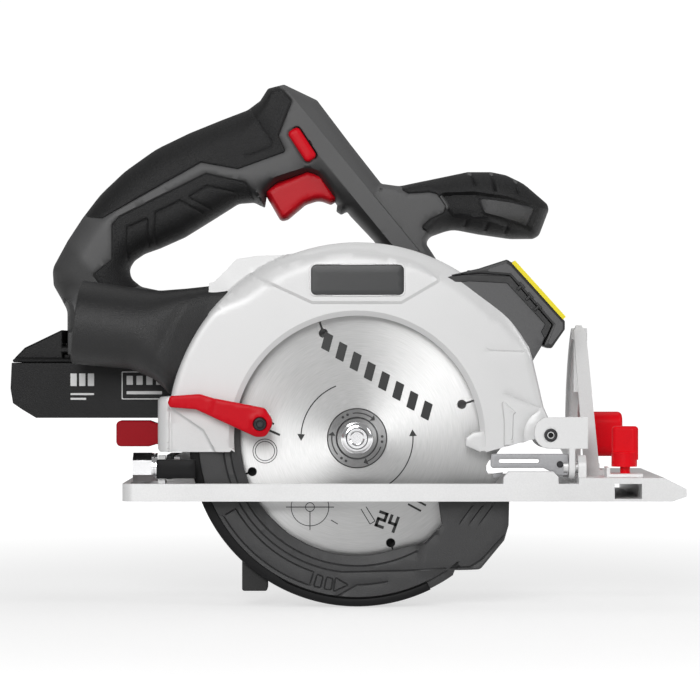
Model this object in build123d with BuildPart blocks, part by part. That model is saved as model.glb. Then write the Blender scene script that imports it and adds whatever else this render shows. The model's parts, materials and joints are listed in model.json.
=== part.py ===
"""Cordless circular saw: 150 mm blade, bevel base, depth swing, retracting lower guard, slide-on battery.

Frame: +X is the cutting direction, +Z is up, +Y points from the blade towards the motor.
The sole of the base plate lies on Z = 0, the blade turns about the Y line X = 0, Z = AXLE_Z,
and the blade's middle plane is Y = 0. All lengths are millimetres.
"""
from build123d import *
import os
from math import acos, asin, atan2, cos, degrees, hypot, pi, radians, sin, tan

os.makedirs("parts", exist_ok=True)

# ---------------------------------------------------------------- driving dimensions
BLADE_R = 75.0
BLADE_THICK = 1.2
BLADE_BORE_R = 5.0
KERF = 1.9
TEETH = 24
AXLE_Z = 30.5

LOWER_GUARD_R = 83.0
LOWER_GUARD_WALL = 2.0
LOWER_GUARD_NEAR = -11.5
LOWER_GUARD_FAR = 12.0
LOWER_GUARD_WINDOW_R = 58.0
LOWER_GUARD_FRONT_ANGLE = -23.0
LOWER_GUARD_REAR_ANGLE = -196.0
BEAK_R = 89.0

UPPER_GUARD_R = 94.5
UPPER_GUARD_WALL = 2.4
UPPER_GUARD_NEAR = -15.0
UPPER_GUARD_FAR = 16.0
UPPER_GUARD_FOOT_Z = 24.0
UPPER_GUARD_REAR = -99.0
WINDOW_R = 61.0

BASE_REAR = -115.8
BASE_STEP = 109.0
BASE_BOX_END = 151.3
BASE_NOSE = 162.0
BASE_NEAR = -26.0
BASE_FAR = 99.0
BASE_RIM_TOP = 8.7
BASE_RIM_WIDTH = 3.5
BASE_FLOOR = 3.0
BASE_BOX_TOP = 11.6
SLOT_REAR = -92.0
SLOT_FRONT = 93.0
SLOT_NEAR = -19.0
SLOT_FAR = 43.0
FENCE_X = 133.3
FENCE_WIDTH = 13.4
FENCE_LOW = 1.3
FENCE_HIGH = 8.7

TILT_Y = -14.0
TILT_Z = 16.5
TILT_PIN_R = 3.0
TILT_EAR_R = 6.0
QUADRANT_R = 74.0
QUADRANT_BAND = 6.0
QUADRANT_REAR = 108.0
QUADRANT_FRONT = 116.0
QUADRANT_LEG = 2.8
CLAMP_Y = 46.0
CLAMP_Z = 31.3
CLAMP_BOLT_R = 3.0
KNOB_HUB_R = 4.2
STEEL = 3.0

PIVOT_X = 95.5
PIVOT_Z = 32.5
PIVOT_PIN_R = 3.5
ARM_NEAR = -21.0
ARM_END = 113.9
STRUT_R = 165.0
STRUT_NEAR = 19.8
STRUT_THICK = 2.4
DEPTH_SWING = 27.0
LOCK_BOLT_R = 3.0
LASER_NEAR = -13.0
LASER_FAR = 9.0
LASER_CAP_LAP = 1.0

HANDLE_Y = 58.0
HANDLE_HALF = 18.0
SHELL_WALL = 4.2
GRIP_SKIN = 2.0
MOTOR_R = 21.0
MOTOR_LENGTH = 58.0
MOTOR_FRONT_Y = 54.0
MOTOR_SHAFT_R = 2.5
CUP_R = 27.0
CUP_END = 128.0
GEAR_MODULE = 0.9
GEAR_TEETH = 44
PINION_TEETH = 11
GEAR_NEAR = 25.0
GEAR_WIDTH = 9.0
PRESSURE_ANGLE = 20.0
GEAR_HOUSING_NEAR = 18.0
GEAR_HOUSING_SPLIT = 36.0
GEAR_HOUSING_FAR = 50.0
NOSE_R = 16.0
NOSE_TIP = 7.0
SPINDLE_R = 6.0
LOCK_PIN_R = 2.55
LOCK_PIN_Y = 21.7
LOCK_HOLE_FLOOR = 4.5

PORT_Y = 1.0
PORT_OUTER_R = 20.5
PORT_BORE_R = 17.5
DUCT_R = 11.0
PORT_END = (-139.5, 88.4)
PORT_RISE = 7.5
PORT_LENGTH = 36.0

BATTERY_WIDTH = 72.0
BATTERY_Y = 60.0
BATTERY_REAR = -176.0
BATTERY_BOTTOM = 40.0
BATTERY_TOP = 70.0
RAIL_HIGH = 76.0
CELL_R = 9.2
CELL_LENGTH = 65.0

FIT = 0.3
RUNNING = 0.05

# ---------------------------------------------------------------- worked-out places
AXLE = (0.0, AXLE_Z)
gear_r = GEAR_MODULE * GEAR_TEETH / 2
pinion_r = GEAR_MODULE * PINION_TEETH / 2
MOTOR = (0.0, AXLE_Z + gear_r + pinion_r)
PIVOT = (PIVOT_X, PIVOT_Z)
TILT = (TILT_Y, TILT_Z)
CLAMP = (CLAMP_Y, CLAMP_Z)
LOCK_BOLT = (PIVOT_X - STRUT_R, PIVOT_Z)
strut_far = STRUT_NEAR + STRUT_THICK
half_blade = BLADE_THICK / 2
clamp_r = hypot(CLAMP_Y - TILT_Y, CLAMP_Z - TILT_Z)
clamp_angle = degrees(atan2(CLAMP_Z - TILT_Z, CLAMP_Y - TILT_Y))
quadrant_near = LASER_FAR + LASER_CAP_LAP + 2 * FIT
bracket_far = QUADRANT_REAR - 0.4
bracket_near = bracket_far - STEEL
web_rear = BASE_STEP + 0.2
web_front = web_rear + 3.5
lever_far = PORT_Y - PORT_OUTER_R - 0.7
lever_near = lever_far - 3.3


# ---------------------------------------------------------------- helpers
def side_plane(y):
    """Sketch plane whose axes are X and Z, at this Y; a positive extrusion runs towards -Y."""
    return Plane(origin=(0, y, 0), x_dir=(1, 0, 0), z_dir=(0, -1, 0))


def end_plane(x):
    """Sketch plane whose axes are Y and Z, at this X; a positive extrusion runs towards +X."""
    return Plane(origin=(x, 0, 0), x_dir=(0, 1, 0), z_dir=(1, 0, 0))


def polar(radius, angle, centre=(0.0, 0.0)):
    """Point at this radius and angle (degrees) from a centre."""
    return (centre[0] + radius * cos(radians(angle)), centre[1] + radius * sin(radians(angle)))


def disc(radius, centre, mode=Mode.ADD):
    """Adds or cuts a circle at a centre of the current sketch."""
    with Locations(centre):
        Circle(radius, mode=mode)


def outline(points, mode=Mode.ADD):
    """Adds or cuts a closed straight-sided outline."""
    Polygon(*points, align=None, mode=mode)


def sector(inner, outer, start, end, centre, mode=Mode.ADD):
    """Adds or cuts the part of a ring between two angles, start below end."""
    middle = (start + end) / 2
    with BuildLine() as ring:
        ThreePointArc(polar(outer, start, centre), polar(outer, middle, centre), polar(outer, end, centre))
        Line(polar(outer, end, centre), polar(inner, end, centre))
        ThreePointArc(polar(inner, end, centre), polar(inner, middle, centre), polar(inner, start, centre))
        Line(polar(inner, start, centre), polar(outer, start, centre))
    make_face(ring.edges(), mode=mode)


def arc_slot(radius, half_width, start, end, centre, mode=Mode.ADD):
    """Adds or cuts a round-ended slot along an arc."""
    sector(radius - half_width, radius + half_width, start, end, centre, mode)
    for angle in (start, end):
        disc(half_width, polar(radius, angle, centre), mode)


def save(piece, name):
    """Labels a finished piece and writes it to its own file."""
    piece.part.label = name
    export_step(piece.part, f"parts/{name}.step")


def screw_group(name, places, length, shank_r, head_r, head_height, direction):
    """A group of alike pan-head screws; each place is the underside of a head, direction points to the tip."""
    with BuildPart() as screws:
        for place in places:
            with BuildSketch(Plane(origin=place, z_dir=direction)):
                Circle(shank_r)
            extrude(amount=length)
            with BuildSketch(Plane(origin=place, z_dir=direction)):
                Circle(head_r)
                Rectangle(head_r * 1.1, head_r * 0.28, mode=Mode.SUBTRACT)
            extrude(amount=-head_height)
            with BuildSketch(Plane(origin=place, z_dir=direction)):
                Circle(head_r)
            extrude(amount=-head_height * 0.5)
    save(screws, name)


def involute_gear(teeth, addendum, dedendum, centre, phase, backlash):
    """Outline of a spur gear: involute flanks from the root to the tip, one tooth centred on the phase angle."""
    pitch = GEAR_MODULE * teeth / 2
    base = pitch * cos(radians(PRESSURE_ANGLE))
    tip = pitch + addendum
    root = pitch - dedendum
    involute_at_pitch = tan(radians(PRESSURE_ANGLE)) - radians(PRESSURE_ANGLE)
    half_tooth = pi / (2 * teeth) - backlash / (2 * pitch)

    def flank(radius):
        """Half the angle of the tooth at this radius."""
        roll = acos(base / max(radius, base))
        return half_tooth + involute_at_pitch - (tan(roll) - roll)

    points = []
    steps = 5
    low = max(root, base)
    for tooth in range(teeth):
        middle = phase + 360 * tooth / teeth
        radii = [root] + [low + (tip - low) * step / steps for step in range(steps + 1)]
        for radius in radii:
            points.append(polar(radius, middle - degrees(flank(radius)), centre))
        for radius in reversed(radii):
            points.append(polar(radius, middle + degrees(flank(radius)), centre))
    return points


# ================================================================ base
with BuildPart() as base_plate:
    with BuildSketch(side_plane(BASE_FAR)):
        outline([(BASE_REAR, 0), (155, 0), (BASE_NOSE, 2.3), (BASE_NOSE, 6.2), (BASE_BOX_END, BASE_BOX_TOP),
                 (BASE_STEP, BASE_BOX_TOP), (BASE_STEP, BASE_RIM_TOP), (BASE_REAR, BASE_RIM_TOP)])
    extrude(amount=BASE_FAR - BASE_NEAR)
    fillet(base_plate.edges().filter_by(Axis.Z).group_by(Axis.X)[0], radius=6)
    with BuildSketch(Plane.XY.offset(BASE_FLOOR)):
        with Locations(((BASE_REAR + BASE_STEP) / 2, (BASE_NEAR + BASE_FAR) / 2)):
            RectangleRounded(BASE_STEP - BASE_REAR - 2 * BASE_RIM_WIDTH,
                             BASE_FAR - BASE_NEAR - 2 * BASE_RIM_WIDTH, 4)
    extrude(amount=BASE_RIM_TOP, mode=Mode.SUBTRACT)
    with BuildSketch(Plane.XY):
        with Locations(((SLOT_REAR + SLOT_FRONT) / 2, (SLOT_NEAR + SLOT_FAR) / 2)):
            RectangleRounded(SLOT_FRONT - SLOT_REAR, SLOT_FAR - SLOT_NEAR, 6)
    extrude(amount=BASE_FLOOR, mode=Mode.SUBTRACT)
    # stiffening ribs on the far side, and a rounded boss on the near rim ahead of the blade
    with BuildSketch(Plane.XY.offset(BASE_FLOOR)):
        with Locations((-8, GEAR_HOUSING_FAR + 3)):
            Rectangle(150, 2.4)
        with Locations(*[(x, (GEAR_HOUSING_FAR + 2 + BASE_FAR) / 2) for x in (-82, -37, 8, 53)]):
            Rectangle(2.4, BASE_FAR - GEAR_HOUSING_FAR - 2)
    extrude(amount=3.2)
    with BuildSketch(side_plane(SLOT_NEAR - 1)):
        outline([(72, 3), (99, 3), (99, 12), (96.5, 14.7), (74.5, 14.7), (72, 12)])
    extrude(amount=SLOT_NEAR - 1 - BASE_NEAR)
    # fence channel through the raised front box, and relief pockets under the box
    with BuildSketch(side_plane(BASE_FAR)):
        with Locations((FENCE_X, (FENCE_LOW + FENCE_HIGH) / 2)):
            Rectangle(FENCE_WIDTH, FENCE_HIGH - FENCE_LOW)
    extrude(amount=BASE_FAR - BASE_NEAR, mode=Mode.SUBTRACT)
    with BuildSketch(Plane.XY):
        for low, high in ((112.5, 123.5), (143.0, 149.0)):
            for near, far in ((BASE_NEAR + 4, 34.5), (37.5, BASE_FAR - 4)):
                with Locations(((low + high) / 2, (near + far) / 2)):
                    Rectangle(high - low, far - near)
    extrude(amount=BASE_BOX_TOP - 3, mode=Mode.SUBTRACT)
    # tilt lugs front and rear
    with BuildSketch(end_plane(web_rear)):
        disc(TILT_EAR_R, TILT)
        with Locations((TILT_Y, (TILT_Z + BASE_BOX_TOP) / 2)):
            Rectangle(2 * TILT_EAR_R, TILT_Z - BASE_BOX_TOP)
    extrude(amount=4)
    with BuildSketch(end_plane(-98.2)):
        disc(TILT_EAR_R, TILT)
        with Locations((TILT_Y, (TILT_Z + BASE_FLOOR) / 2)):
            Rectangle(2 * TILT_EAR_R, TILT_Z - BASE_FLOOR)
    extrude(amount=3.5)
    for x in (-100, BASE_STEP - 3):
        with BuildSketch(end_plane(x)):
            disc(TILT_PIN_R, TILT)
        extrude(amount=12, mode=Mode.SUBTRACT)
    # threaded hole for the fence screw
    with BuildSketch(Plane.XY.offset(FENCE_HIGH)):
        disc(2.6, (FENCE_X, -8))
    extrude(amount=BASE_BOX_TOP - FENCE_HIGH, mode=Mode.SUBTRACT)
    # screw holes for the quadrant's foot
    with BuildSketch(Plane.XY.offset(BASE_BOX_TOP - 3)):
        with Locations((119.5, 26), (119.5, 60)):
            Circle(2.1)
    extrude(amount=3, mode=Mode.SUBTRACT)
save(base_plate, "base_plate")

with BuildPart() as bevel_quadrant:
    bottom_angle = degrees(asin((BASE_BOX_TOP - TILT_Z) / QUADRANT_R))
    top_angle = degrees(acos((quadrant_near - TILT_Y) / (QUADRANT_R - QUADRANT_BAND)))
    with BuildSketch(end_plane(web_rear)):
        with BuildLine():
            low = polar(QUADRANT_R, bottom_angle, TILT)
            top = polar(QUADRANT_R, top_angle, TILT)
            Line((quadrant_near, BASE_BOX_TOP), low)
            ThreePointArc(low, polar(QUADRANT_R, (bottom_angle + top_angle) / 2, TILT), top)
            Line(top, (quadrant_near, BASE_BOX_TOP))
        make_face()
        arc_slot(clamp_r, CLAMP_BOLT_R + 0.4, clamp_angle - 1, clamp_angle + 46, TILT, Mode.SUBTRACT)
        sector(34, 52, 8, 55, TILT, Mode.SUBTRACT)
    extrude(amount=web_front - web_rear)
    with BuildSketch(end_plane(QUADRANT_REAR)):
        sector(QUADRANT_R - QUADRANT_BAND, QUADRANT_R, bottom_angle + 4, top_angle, TILT)
    extrude(amount=QUADRANT_FRONT - QUADRANT_REAR)
    # leaning near leg
    with BuildSketch(side_plane(quadrant_near + QUADRANT_LEG)):
        outline([(114.7, BASE_BOX_TOP), (122.4, BASE_BOX_TOP), (115.4, 83), (113, 87), (110.4, 87),
                 (109.2, 84)])
    extrude(amount=QUADRANT_LEG)
    # foot with two screw holes
    with BuildSketch(Plane.XY.offset(BASE_BOX_TOP)):
        with Locations((116.8, (quadrant_near + 65) / 2)):
            Rectangle(15.2, 65 - quadrant_near)
        with Locations((119.5, 26), (119.5, 60)):
            Circle(2.1, mode=Mode.SUBTRACT)
    extrude(amount=2.5)
    with BuildSketch(Plane.XY.offset(BASE_BOX_TOP)):
        with Locations((119.5, 26), (119.5, 60)):
            Circle(2.1)
    extrude(amount=2.5, mode=Mode.SUBTRACT)
save(bevel_quadrant, "bevel_quadrant")

screw_group("quadrant_screws", [(119.5, 26, BASE_BOX_TOP + 2.5), (119.5, 60, BASE_BOX_TOP + 2.5)],
            5.4, 2.05, 4.0, 2.6, (0, 0, -1))

with BuildPart() as tilt_pins:
    with BuildSketch(end_plane(bracket_near - 2.6)):
        disc(5.0, TILT)
        with Locations(TILT):
            RegularPolygon(2.6, 6, mode=Mode.SUBTRACT)
    extrude(amount=2.4)
    with BuildSketch(end_plane(bracket_near - 1.2)):
        disc(TILT_PIN_R, TILT)
    extrude(amount=web_rear - bracket_near + 5.2)
    with BuildSketch(end_plane(-110.5)):
        disc(TILT_PIN_R, TILT)
    extrude(amount=110.5 - 89.5)
    with BuildSketch(end_plane(-90.4)):
        disc(5.6, TILT)
    extrude(amount=2.8)
save(tilt_pins, "tilt_pins")

with BuildPart() as rear_tilt_nut:
    with BuildSketch(end_plane(-110.8)):
        with Locations(TILT):
            RegularPolygon(7.2, 6, rotation=30)
    extrude(amount=9.4)
    for x in (-101.4, -99.8):
        with BuildSketch(end_plane(x)):
            disc(7.0, TILT)
        extrude(amount=1.2)
    with BuildSketch(end_plane(-101.4)):
        disc(6.4, TILT)
    extrude(amount=2)
    with BuildSketch(end_plane(-110.8)):
        disc(TILT_PIN_R, TILT)
    extrude(amount=14, mode=Mode.SUBTRACT)
save(rear_tilt_nut, "rear_tilt_nut")

with BuildPart() as fence_clamp_plate:
    with BuildSketch(side_plane(0)):
        outline([(123.5, BASE_BOX_TOP), (141.5, BASE_BOX_TOP), (141.5, 13.2), (125.2, 13.2), (125.2, 16.4),
                 (123.5, 16.4)])
    extrude(amount=16)
    with BuildSketch(Plane.XY.offset(BASE_BOX_TOP)):
        disc(2.9, (FENCE_X, -8))
    extrude(amount=4, mode=Mode.SUBTRACT)
save(fence_clamp_plate, "fence_clamp_plate")

# ================================================================ bevel carriage
with BuildPart() as front_bracket:
    with BuildSketch(side_plane(ARM_NEAR + STEEL)):
        with BuildLine():
            Line((95.2, 25.7), (ARM_END, 25.7))
            Line((ARM_END, 25.7), (ARM_END, 41.4))
            Line((ARM_END, 41.4), (95.2, 41.4))
            ThreePointArc((95.2, 41.4), (95.2 - 7.85, 33.55), (95.2, 25.7))
        make_face()
        disc(PIVOT_PIN_R, PIVOT, Mode.SUBTRACT)
    extrude(amount=STEEL)
    with BuildSketch(end_plane(bracket_near)):
        outline([(ARM_NEAR, 24), (ARM_NEAR, 41.4), (-8, 41.4), (4, 38.5), (CLAMP_Y, CLAMP_Z + 7.8),
                 (CLAMP_Y, CLAMP_Z - 7.8), (2, 20), (TILT_Y + TILT_EAR_R, TILT_Z), (TILT_Y - TILT_EAR_R, TILT_Z)])
        disc(7.8, CLAMP)
        disc(TILT_EAR_R, TILT)
        disc(TILT_PIN_R + RUNNING, TILT, Mode.SUBTRACT)
        disc(CLAMP_BOLT_R, CLAMP, Mode.SUBTRACT)
    extrude(amount=STEEL)
    # far ear carries the other end of the depth pivot pin
    with BuildSketch(side_plane(24)):
        with BuildLine():
            Line((95.5, 25), (bracket_far, 25))
            Line((bracket_far, 25), (bracket_far, 40))
            Line((bracket_far, 40), (95.5, 40))
            ThreePointArc((95.5, 40), (88, 32.5), (95.5, 25))
        make_face()
        disc(PIVOT_PIN_R, PIVOT, Mode.SUBTRACT)
    extrude(amount=STEEL)
save(front_bracket, "front_bracket")

with BuildPart() as depth_pivot_pin:
    with BuildSketch(side_plane(24.6)):
        disc(PIVOT_PIN_R, PIVOT)
    extrude(amount=24.6 - ARM_NEAR + 0.2)
    with BuildSketch(side_plane(26.4)):
        disc(5.4, PIVOT)
    extrude(amount=2.1)
save(depth_pivot_pin, "depth_pivot_pin")

with BuildPart() as depth_strut:
    with BuildSketch(side_plane(strut_far)):
        arc_slot(STRUT_R, 6.8, 180 - DEPTH_SWING - 2.4, 183.6, PIVOT)
        outline([(-92, 10.5), (-77, 10.5), (-63.2, 20), (-63.2, 28), (-78, 28), (-92, 21)])
        arc_slot(STRUT_R, LOCK_BOLT_R + 0.2, 180 - DEPTH_SWING - 0.1, 180.1, PIVOT, Mode.SUBTRACT)
    extrude(amount=STRUT_THICK)
save(depth_strut, "depth_strut")

with BuildPart() as strut_foot:
    with BuildSketch(end_plane(-94.2)):
        outline([(TILT_Y, TILT_Z - TILT_EAR_R), (STRUT_NEAR + 4, 9.6), (STRUT_NEAR + 4, 22.4), (TILT_Y, 22.5)])
        disc(TILT_EAR_R, TILT)
        disc(TILT_PIN_R + RUNNING, TILT, Mode.SUBTRACT)
    extrude(amount=2.2)
    with BuildSketch(side_plane(strut_far + 1.6)):
        outline([(-92.2, 9.6), (-77, 9.6), (-77, 17), (-83, 22.4), (-92.2, 22.4)])
    extrude(amount=1.6)
save(strut_foot, "strut_foot")

with BuildPart() as bevel_clamp_bolt:
    with BuildSketch(end_plane(bracket_near - 3)):
        with Locations(CLAMP):
            RegularPolygon(5.6, 6)
    extrude(amount=3)
    with BuildSketch(end_plane(bracket_near)):
        disc(CLAMP_BOLT_R, CLAMP)
    extrude(amount=26)
save(bevel_clamp_bolt, "bevel_clamp_bolt")

with BuildPart() as bevel_knob:
    with BuildSketch(end_plane(web_front + 0.4)):
        disc(KNOB_HUB_R, CLAMP)
    extrude(amount=5.5)
    with BuildSketch(end_plane(web_front + 5.9)):
        with Locations(CLAMP):
            SlotCenterToCenter(11, 12, rotation=90)
    extrude(amount=136.6 - web_front - 5.9)
    fillet(bevel_knob.edges().group_by(Axis.X)[-1], radius=2.5)
    with BuildSketch(end_plane(web_front)):
        disc(CLAMP_BOLT_R + RUNNING, CLAMP)
    extrude(amount=bracket_near + 26.5 - web_front, mode=Mode.SUBTRACT)
save(bevel_knob, "bevel_knob")

with BuildPart() as fence_knob:
    with BuildSketch(Plane.XY.offset(16.6)):
        disc(6.4, (FENCE_X - 0.4, -8))
    extrude(amount=7)
    with BuildSketch(Plane.XY.offset(20)):
        with Locations((FENCE_X, -8)):
            SlotCenterToCenter(8, 5.4, rotation=-20)
    extrude(amount=16.7)
    fillet(fence_knob.edges().group_by(Axis.Z)[-1], radius=1.8)
    with BuildSketch(Plane.XY.offset(9)):
        disc(2.5, (FENCE_X, -8))
    extrude(amount=8)
save(fence_knob, "fence_knob")

# ================================================================ saw head: guard, port and gear case
def guard_outline(inset=0.0, foot=UPPER_GUARD_FOOT_Z):
    """Side outline of the upper guard: a round crown over the blade with square lower corners."""
    disc(UPPER_GUARD_R - inset, (0.5, AXLE_Z + 3))
    outline([(UPPER_GUARD_REAR + inset, foot), (UPPER_GUARD_REAR + inset, 51 - inset), (-60, 51 - inset),
             (-60, foot)])
    outline([(60, foot), (60, 69.5 - inset), (87.1 - inset, 69.5), (92.5 - inset, 46.3), (102.4 - inset, foot)])
    with Locations((0, foot - 60)):
        Rectangle(260, 120, mode=Mode.SUBTRACT)


with BuildPart() as upper_guard:
    with BuildSketch(side_plane(UPPER_GUARD_FAR)):
        guard_outline()
    extrude(amount=UPPER_GUARD_FAR - UPPER_GUARD_NEAR)
    with BuildSketch(side_plane(UPPER_GUARD_FAR - UPPER_GUARD_WALL)):
        guard_outline(UPPER_GUARD_WALL)
        with Locations((0, UPPER_GUARD_FOOT_Z)):
            Rectangle(190, 2)
    extrude(amount=UPPER_GUARD_FAR - UPPER_GUARD_NEAR - 2 * UPPER_GUARD_WALL, mode=Mode.SUBTRACT)
    # round window over the flange, open downwards
    with BuildSketch(side_plane(UPPER_GUARD_NEAR + UPPER_GUARD_WALL)):
        disc(WINDOW_R, AXLE)
    extrude(amount=UPPER_GUARD_WALL, mode=Mode.SUBTRACT)
    # small stop tab at the window's front foot
    with BuildSketch(side_plane(UPPER_GUARD_NEAR + UPPER_GUARD_WALL)):
        outline([(53.5, 31), (53.5, 27), (60.2, UPPER_GUARD_FOOT_Z), (66, UPPER_GUARD_FOOT_Z), (62, 34), (57, 34)])
    extrude(amount=UPPER_GUARD_WALL)
    # raised panel on the near face
    with BuildSketch(side_plane(UPPER_GUARD_NEAR)):
        outline([(-36, 97.3), (36, 97.3), (33, 119), (-33, 119)])
    extrude(amount=0.8)
    # seat of the gear case in the far wall, and the dust outlet through the rim
    with BuildSketch(side_plane(UPPER_GUARD_FAR)):
        disc(NOSE_R + FIT, AXLE)
    extrude(amount=UPPER_GUARD_WALL, mode=Mode.SUBTRACT)
    duct_axis = Plane(origin=(PORT_END[0], PORT_Y, PORT_END[1]),
                      z_dir=(cos(radians(PORT_RISE)), 0, -sin(radians(PORT_RISE))))
    with BuildSketch(duct_axis.offset(PORT_LENGTH)):
        Circle(DUCT_R)
    extrude(amount=45, mode=Mode.SUBTRACT)
    # slot for the depth pivot and the pivot boss at the front
    with BuildSketch(side_plane(UPPER_GUARD_FAR)):
        disc(7.4, PIVOT)
    extrude(amount=UPPER_GUARD_FAR - UPPER_GUARD_NEAR)
    with BuildSketch(side_plane(UPPER_GUARD_FAR)):
        disc(PIVOT_PIN_R + RUNNING, PIVOT)
    extrude(amount=UPPER_GUARD_FAR - UPPER_GUARD_NEAR, mode=Mode.SUBTRACT)
    # ear that carries the depth lock bolt beside the strut
    with BuildSketch(side_plane(UPPER_GUARD_FAR)):
        disc(7, LOCK_BOLT)
    extrude(amount=UPPER_GUARD_WALL)
    with BuildSketch(side_plane(UPPER_GUARD_FAR)):
        disc(LOCK_BOLT_R, LOCK_BOLT)
    extrude(amount=UPPER_GUARD_WALL, mode=Mode.SUBTRACT)
save(upper_guard, "upper_guard")

with BuildPart() as guard_badge:
    with BuildSketch(side_plane(UPPER_GUARD_NEAR - 0.8)):
        with Locations((0.2, 109.1)):
            RectangleRounded(46, 15, 3)
    extrude(amount=0.9)
save(guard_badge, "guard_badge")

with BuildPart() as dust_port:
    with BuildSketch(duct_axis):
        Circle(PORT_OUTER_R)
    extrude(amount=PORT_LENGTH)
    with BuildSketch(side_plane(UPPER_GUARD_FAR)):
        outline([(-109.5, 104.5), (-98.6, 104), (-72.3, 107.1), (-58.5, 107.7), (-40, 90), (-60, 60),
                 (-91, 51.4), (-100.1, 58.8), (-107, 64.5)])
        disc(UPPER_GUARD_R + 0.1, (0.5, AXLE_Z + 3), Mode.SUBTRACT)
    extrude(amount=UPPER_GUARD_FAR - UPPER_GUARD_NEAR)
    with BuildSketch(duct_axis):
        Circle(PORT_BORE_R)
    extrude(amount=PORT_LENGTH - 8, mode=Mode.SUBTRACT)
    with BuildSketch(duct_axis):
        Circle(DUCT_R)
    extrude(amount=90, mode=Mode.SUBTRACT)
save(dust_port, "dust_port")


def case_outline(spindle_radius, motor_radius):
    """Outline round the output gear and the motor shaft: two circles joined by their common tangents."""
    disc(spindle_radius, AXLE)
    disc(motor_radius, MOTOR)
    make_hull()


with BuildPart() as gear_housing:
    with BuildSketch(side_plane(GEAR_HOUSING_SPLIT)):
        case_outline(gear_r + 6, 17)
    extrude(amount=GEAR_HOUSING_SPLIT - GEAR_HOUSING_NEAR)
    with BuildSketch(side_plane(GEAR_HOUSING_NEAR + 2)):
        disc(NOSE_R + 10, AXLE)
    extrude(amount=2 + GEAR_HOUSING_NEAR - UPPER_GUARD_FAR)
    with BuildSketch(side_plane(GEAR_HOUSING_NEAR)):
        disc(NOSE_R, AXLE)
    extrude(amount=GEAR_HOUSING_NEAR - NOSE_TIP)
    with BuildSketch(side_plane(GEAR_HOUSING_SPLIT)):
        case_outline(gear_r + 2.5, 8.5)
    extrude(amount=GEAR_HOUSING_SPLIT - GEAR_NEAR + 1.5, mode=Mode.SUBTRACT)
    with BuildSketch(side_plane(GEAR_NEAR)):
        disc(14, AXLE)
    extrude(amount=GEAR_NEAR - NOSE_TIP - 1.5, mode=Mode.SUBTRACT)
    with BuildSketch(side_plane(GEAR_NEAR)):
        disc(10.5, AXLE)
    extrude(amount=30, mode=Mode.SUBTRACT)
    # guide bore of the spindle lock
    with BuildSketch(end_plane(-32)):
        disc(LOCK_PIN_R + RUNNING, (LOCK_PIN_Y, AXLE_Z))
    extrude(amount=25, mode=Mode.SUBTRACT)
save(gear_housing, "gear_housing")

with BuildPart() as gear_cover:
    with BuildSketch(side_plane(GEAR_HOUSING_FAR)):
        case_outline(gear_r + 6, 17)
    extrude(amount=GEAR_HOUSING_FAR - GEAR_HOUSING_SPLIT - 0.05)
    with BuildSketch(side_plane(GEAR_HOUSING_FAR - 5)):
        disc(13, AXLE)
    extrude(amount=20, mode=Mode.SUBTRACT)
    with BuildSketch(side_plane(GEAR_HOUSING_FAR)):
        disc(5, MOTOR)
    extrude(amount=20, mode=Mode.SUBTRACT)
save(gear_cover, "gear_cover")


def ball_bearing(bore, outer, near, width):
    """Adds one shielded ball bearing on the blade axle: races with a shallow shield groove on both faces."""
    middle = (bore + outer) / 2
    with BuildSketch(side_plane(near + width)) as races:
        disc(outer, AXLE)
        disc(bore, AXLE, Mode.SUBTRACT)
    extrude(races.sketch, amount=width)
    for face in (near + width, near + 0.6):
        with BuildSketch(side_plane(face)) as groove:
            disc(middle + 2, AXLE)
            disc(middle - 2, AXLE, Mode.SUBTRACT)
        extrude(groove.sketch, amount=0.6, mode=Mode.SUBTRACT)


with BuildPart() as spindle_bearings:
    ball_bearing(SPINDLE_R, 14, NOSE_TIP + 1.5, 8)
    ball_bearing(5, 13, GEAR_HOUSING_SPLIT + 1, 8)
save(spindle_bearings, "spindle_bearings")

# ================================================================ saw head: motor
with BuildPart() as motor_can:
    with BuildSketch(side_plane(MOTOR_FRONT_Y + MOTOR_LENGTH)):
        disc(MOTOR_R, MOTOR)
    extrude(amount=MOTOR_LENGTH)
    with BuildSketch(side_plane(MOTOR_FRONT_Y + MOTOR_LENGTH - 3)):
        disc(MOTOR_R - 1.5, MOTOR)
    extrude(amount=MOTOR_LENGTH - 6, mode=Mode.SUBTRACT)
    with BuildSketch(side_plane(MOTOR_FRONT_Y)):
        disc(6.5, MOTOR)
    extrude(amount=2)
    with BuildSketch(side_plane(MOTOR_FRONT_Y + MOTOR_LENGTH)):
        disc(MOTOR_SHAFT_R + RUNNING, MOTOR)
    extrude(amount=MOTOR_LENGTH + 2, mode=Mode.SUBTRACT)
save(motor_can, "motor_can")

with BuildPart() as motor_magnets:
    with BuildSketch(side_plane(MOTOR_FRONT_Y + 46)):
        for start in (15, 195):
            sector(MOTOR_R - 4.6, MOTOR_R - 1.55, start, start + 150, MOTOR)
    extrude(amount=40)
save(motor_magnets, "motor_magnets")

with BuildPart() as motor_brushes:
    for side in (-1, 1):
        with BuildSketch(side_plane(MOTOR_FRONT_Y + 53)):
            with Locations((MOTOR[0] + side * 11.5, MOTOR[1])):
                Rectangle(7, 4.5)
        extrude(amount=5)
save(motor_brushes, "motor_brushes")

with BuildPart() as rotor_core:
    with BuildSketch(side_plane(MOTOR_FRONT_Y + 44)):
        disc(15.6, MOTOR)
        with Locations(MOTOR):
            with PolarLocations(13.4, 5):
                Rectangle(5, 1.6, mode=Mode.SUBTRACT)
        disc(MOTOR_SHAFT_R, MOTOR, Mode.SUBTRACT)
    extrude(amount=34)
    with BuildSketch(side_plane(MOTOR_FRONT_Y + 54)):
        disc(7.4, MOTOR)
        disc(MOTOR_SHAFT_R, MOTOR, Mode.SUBTRACT)
    extrude(amount=10)
save(rotor_core, "rotor_core")

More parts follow.
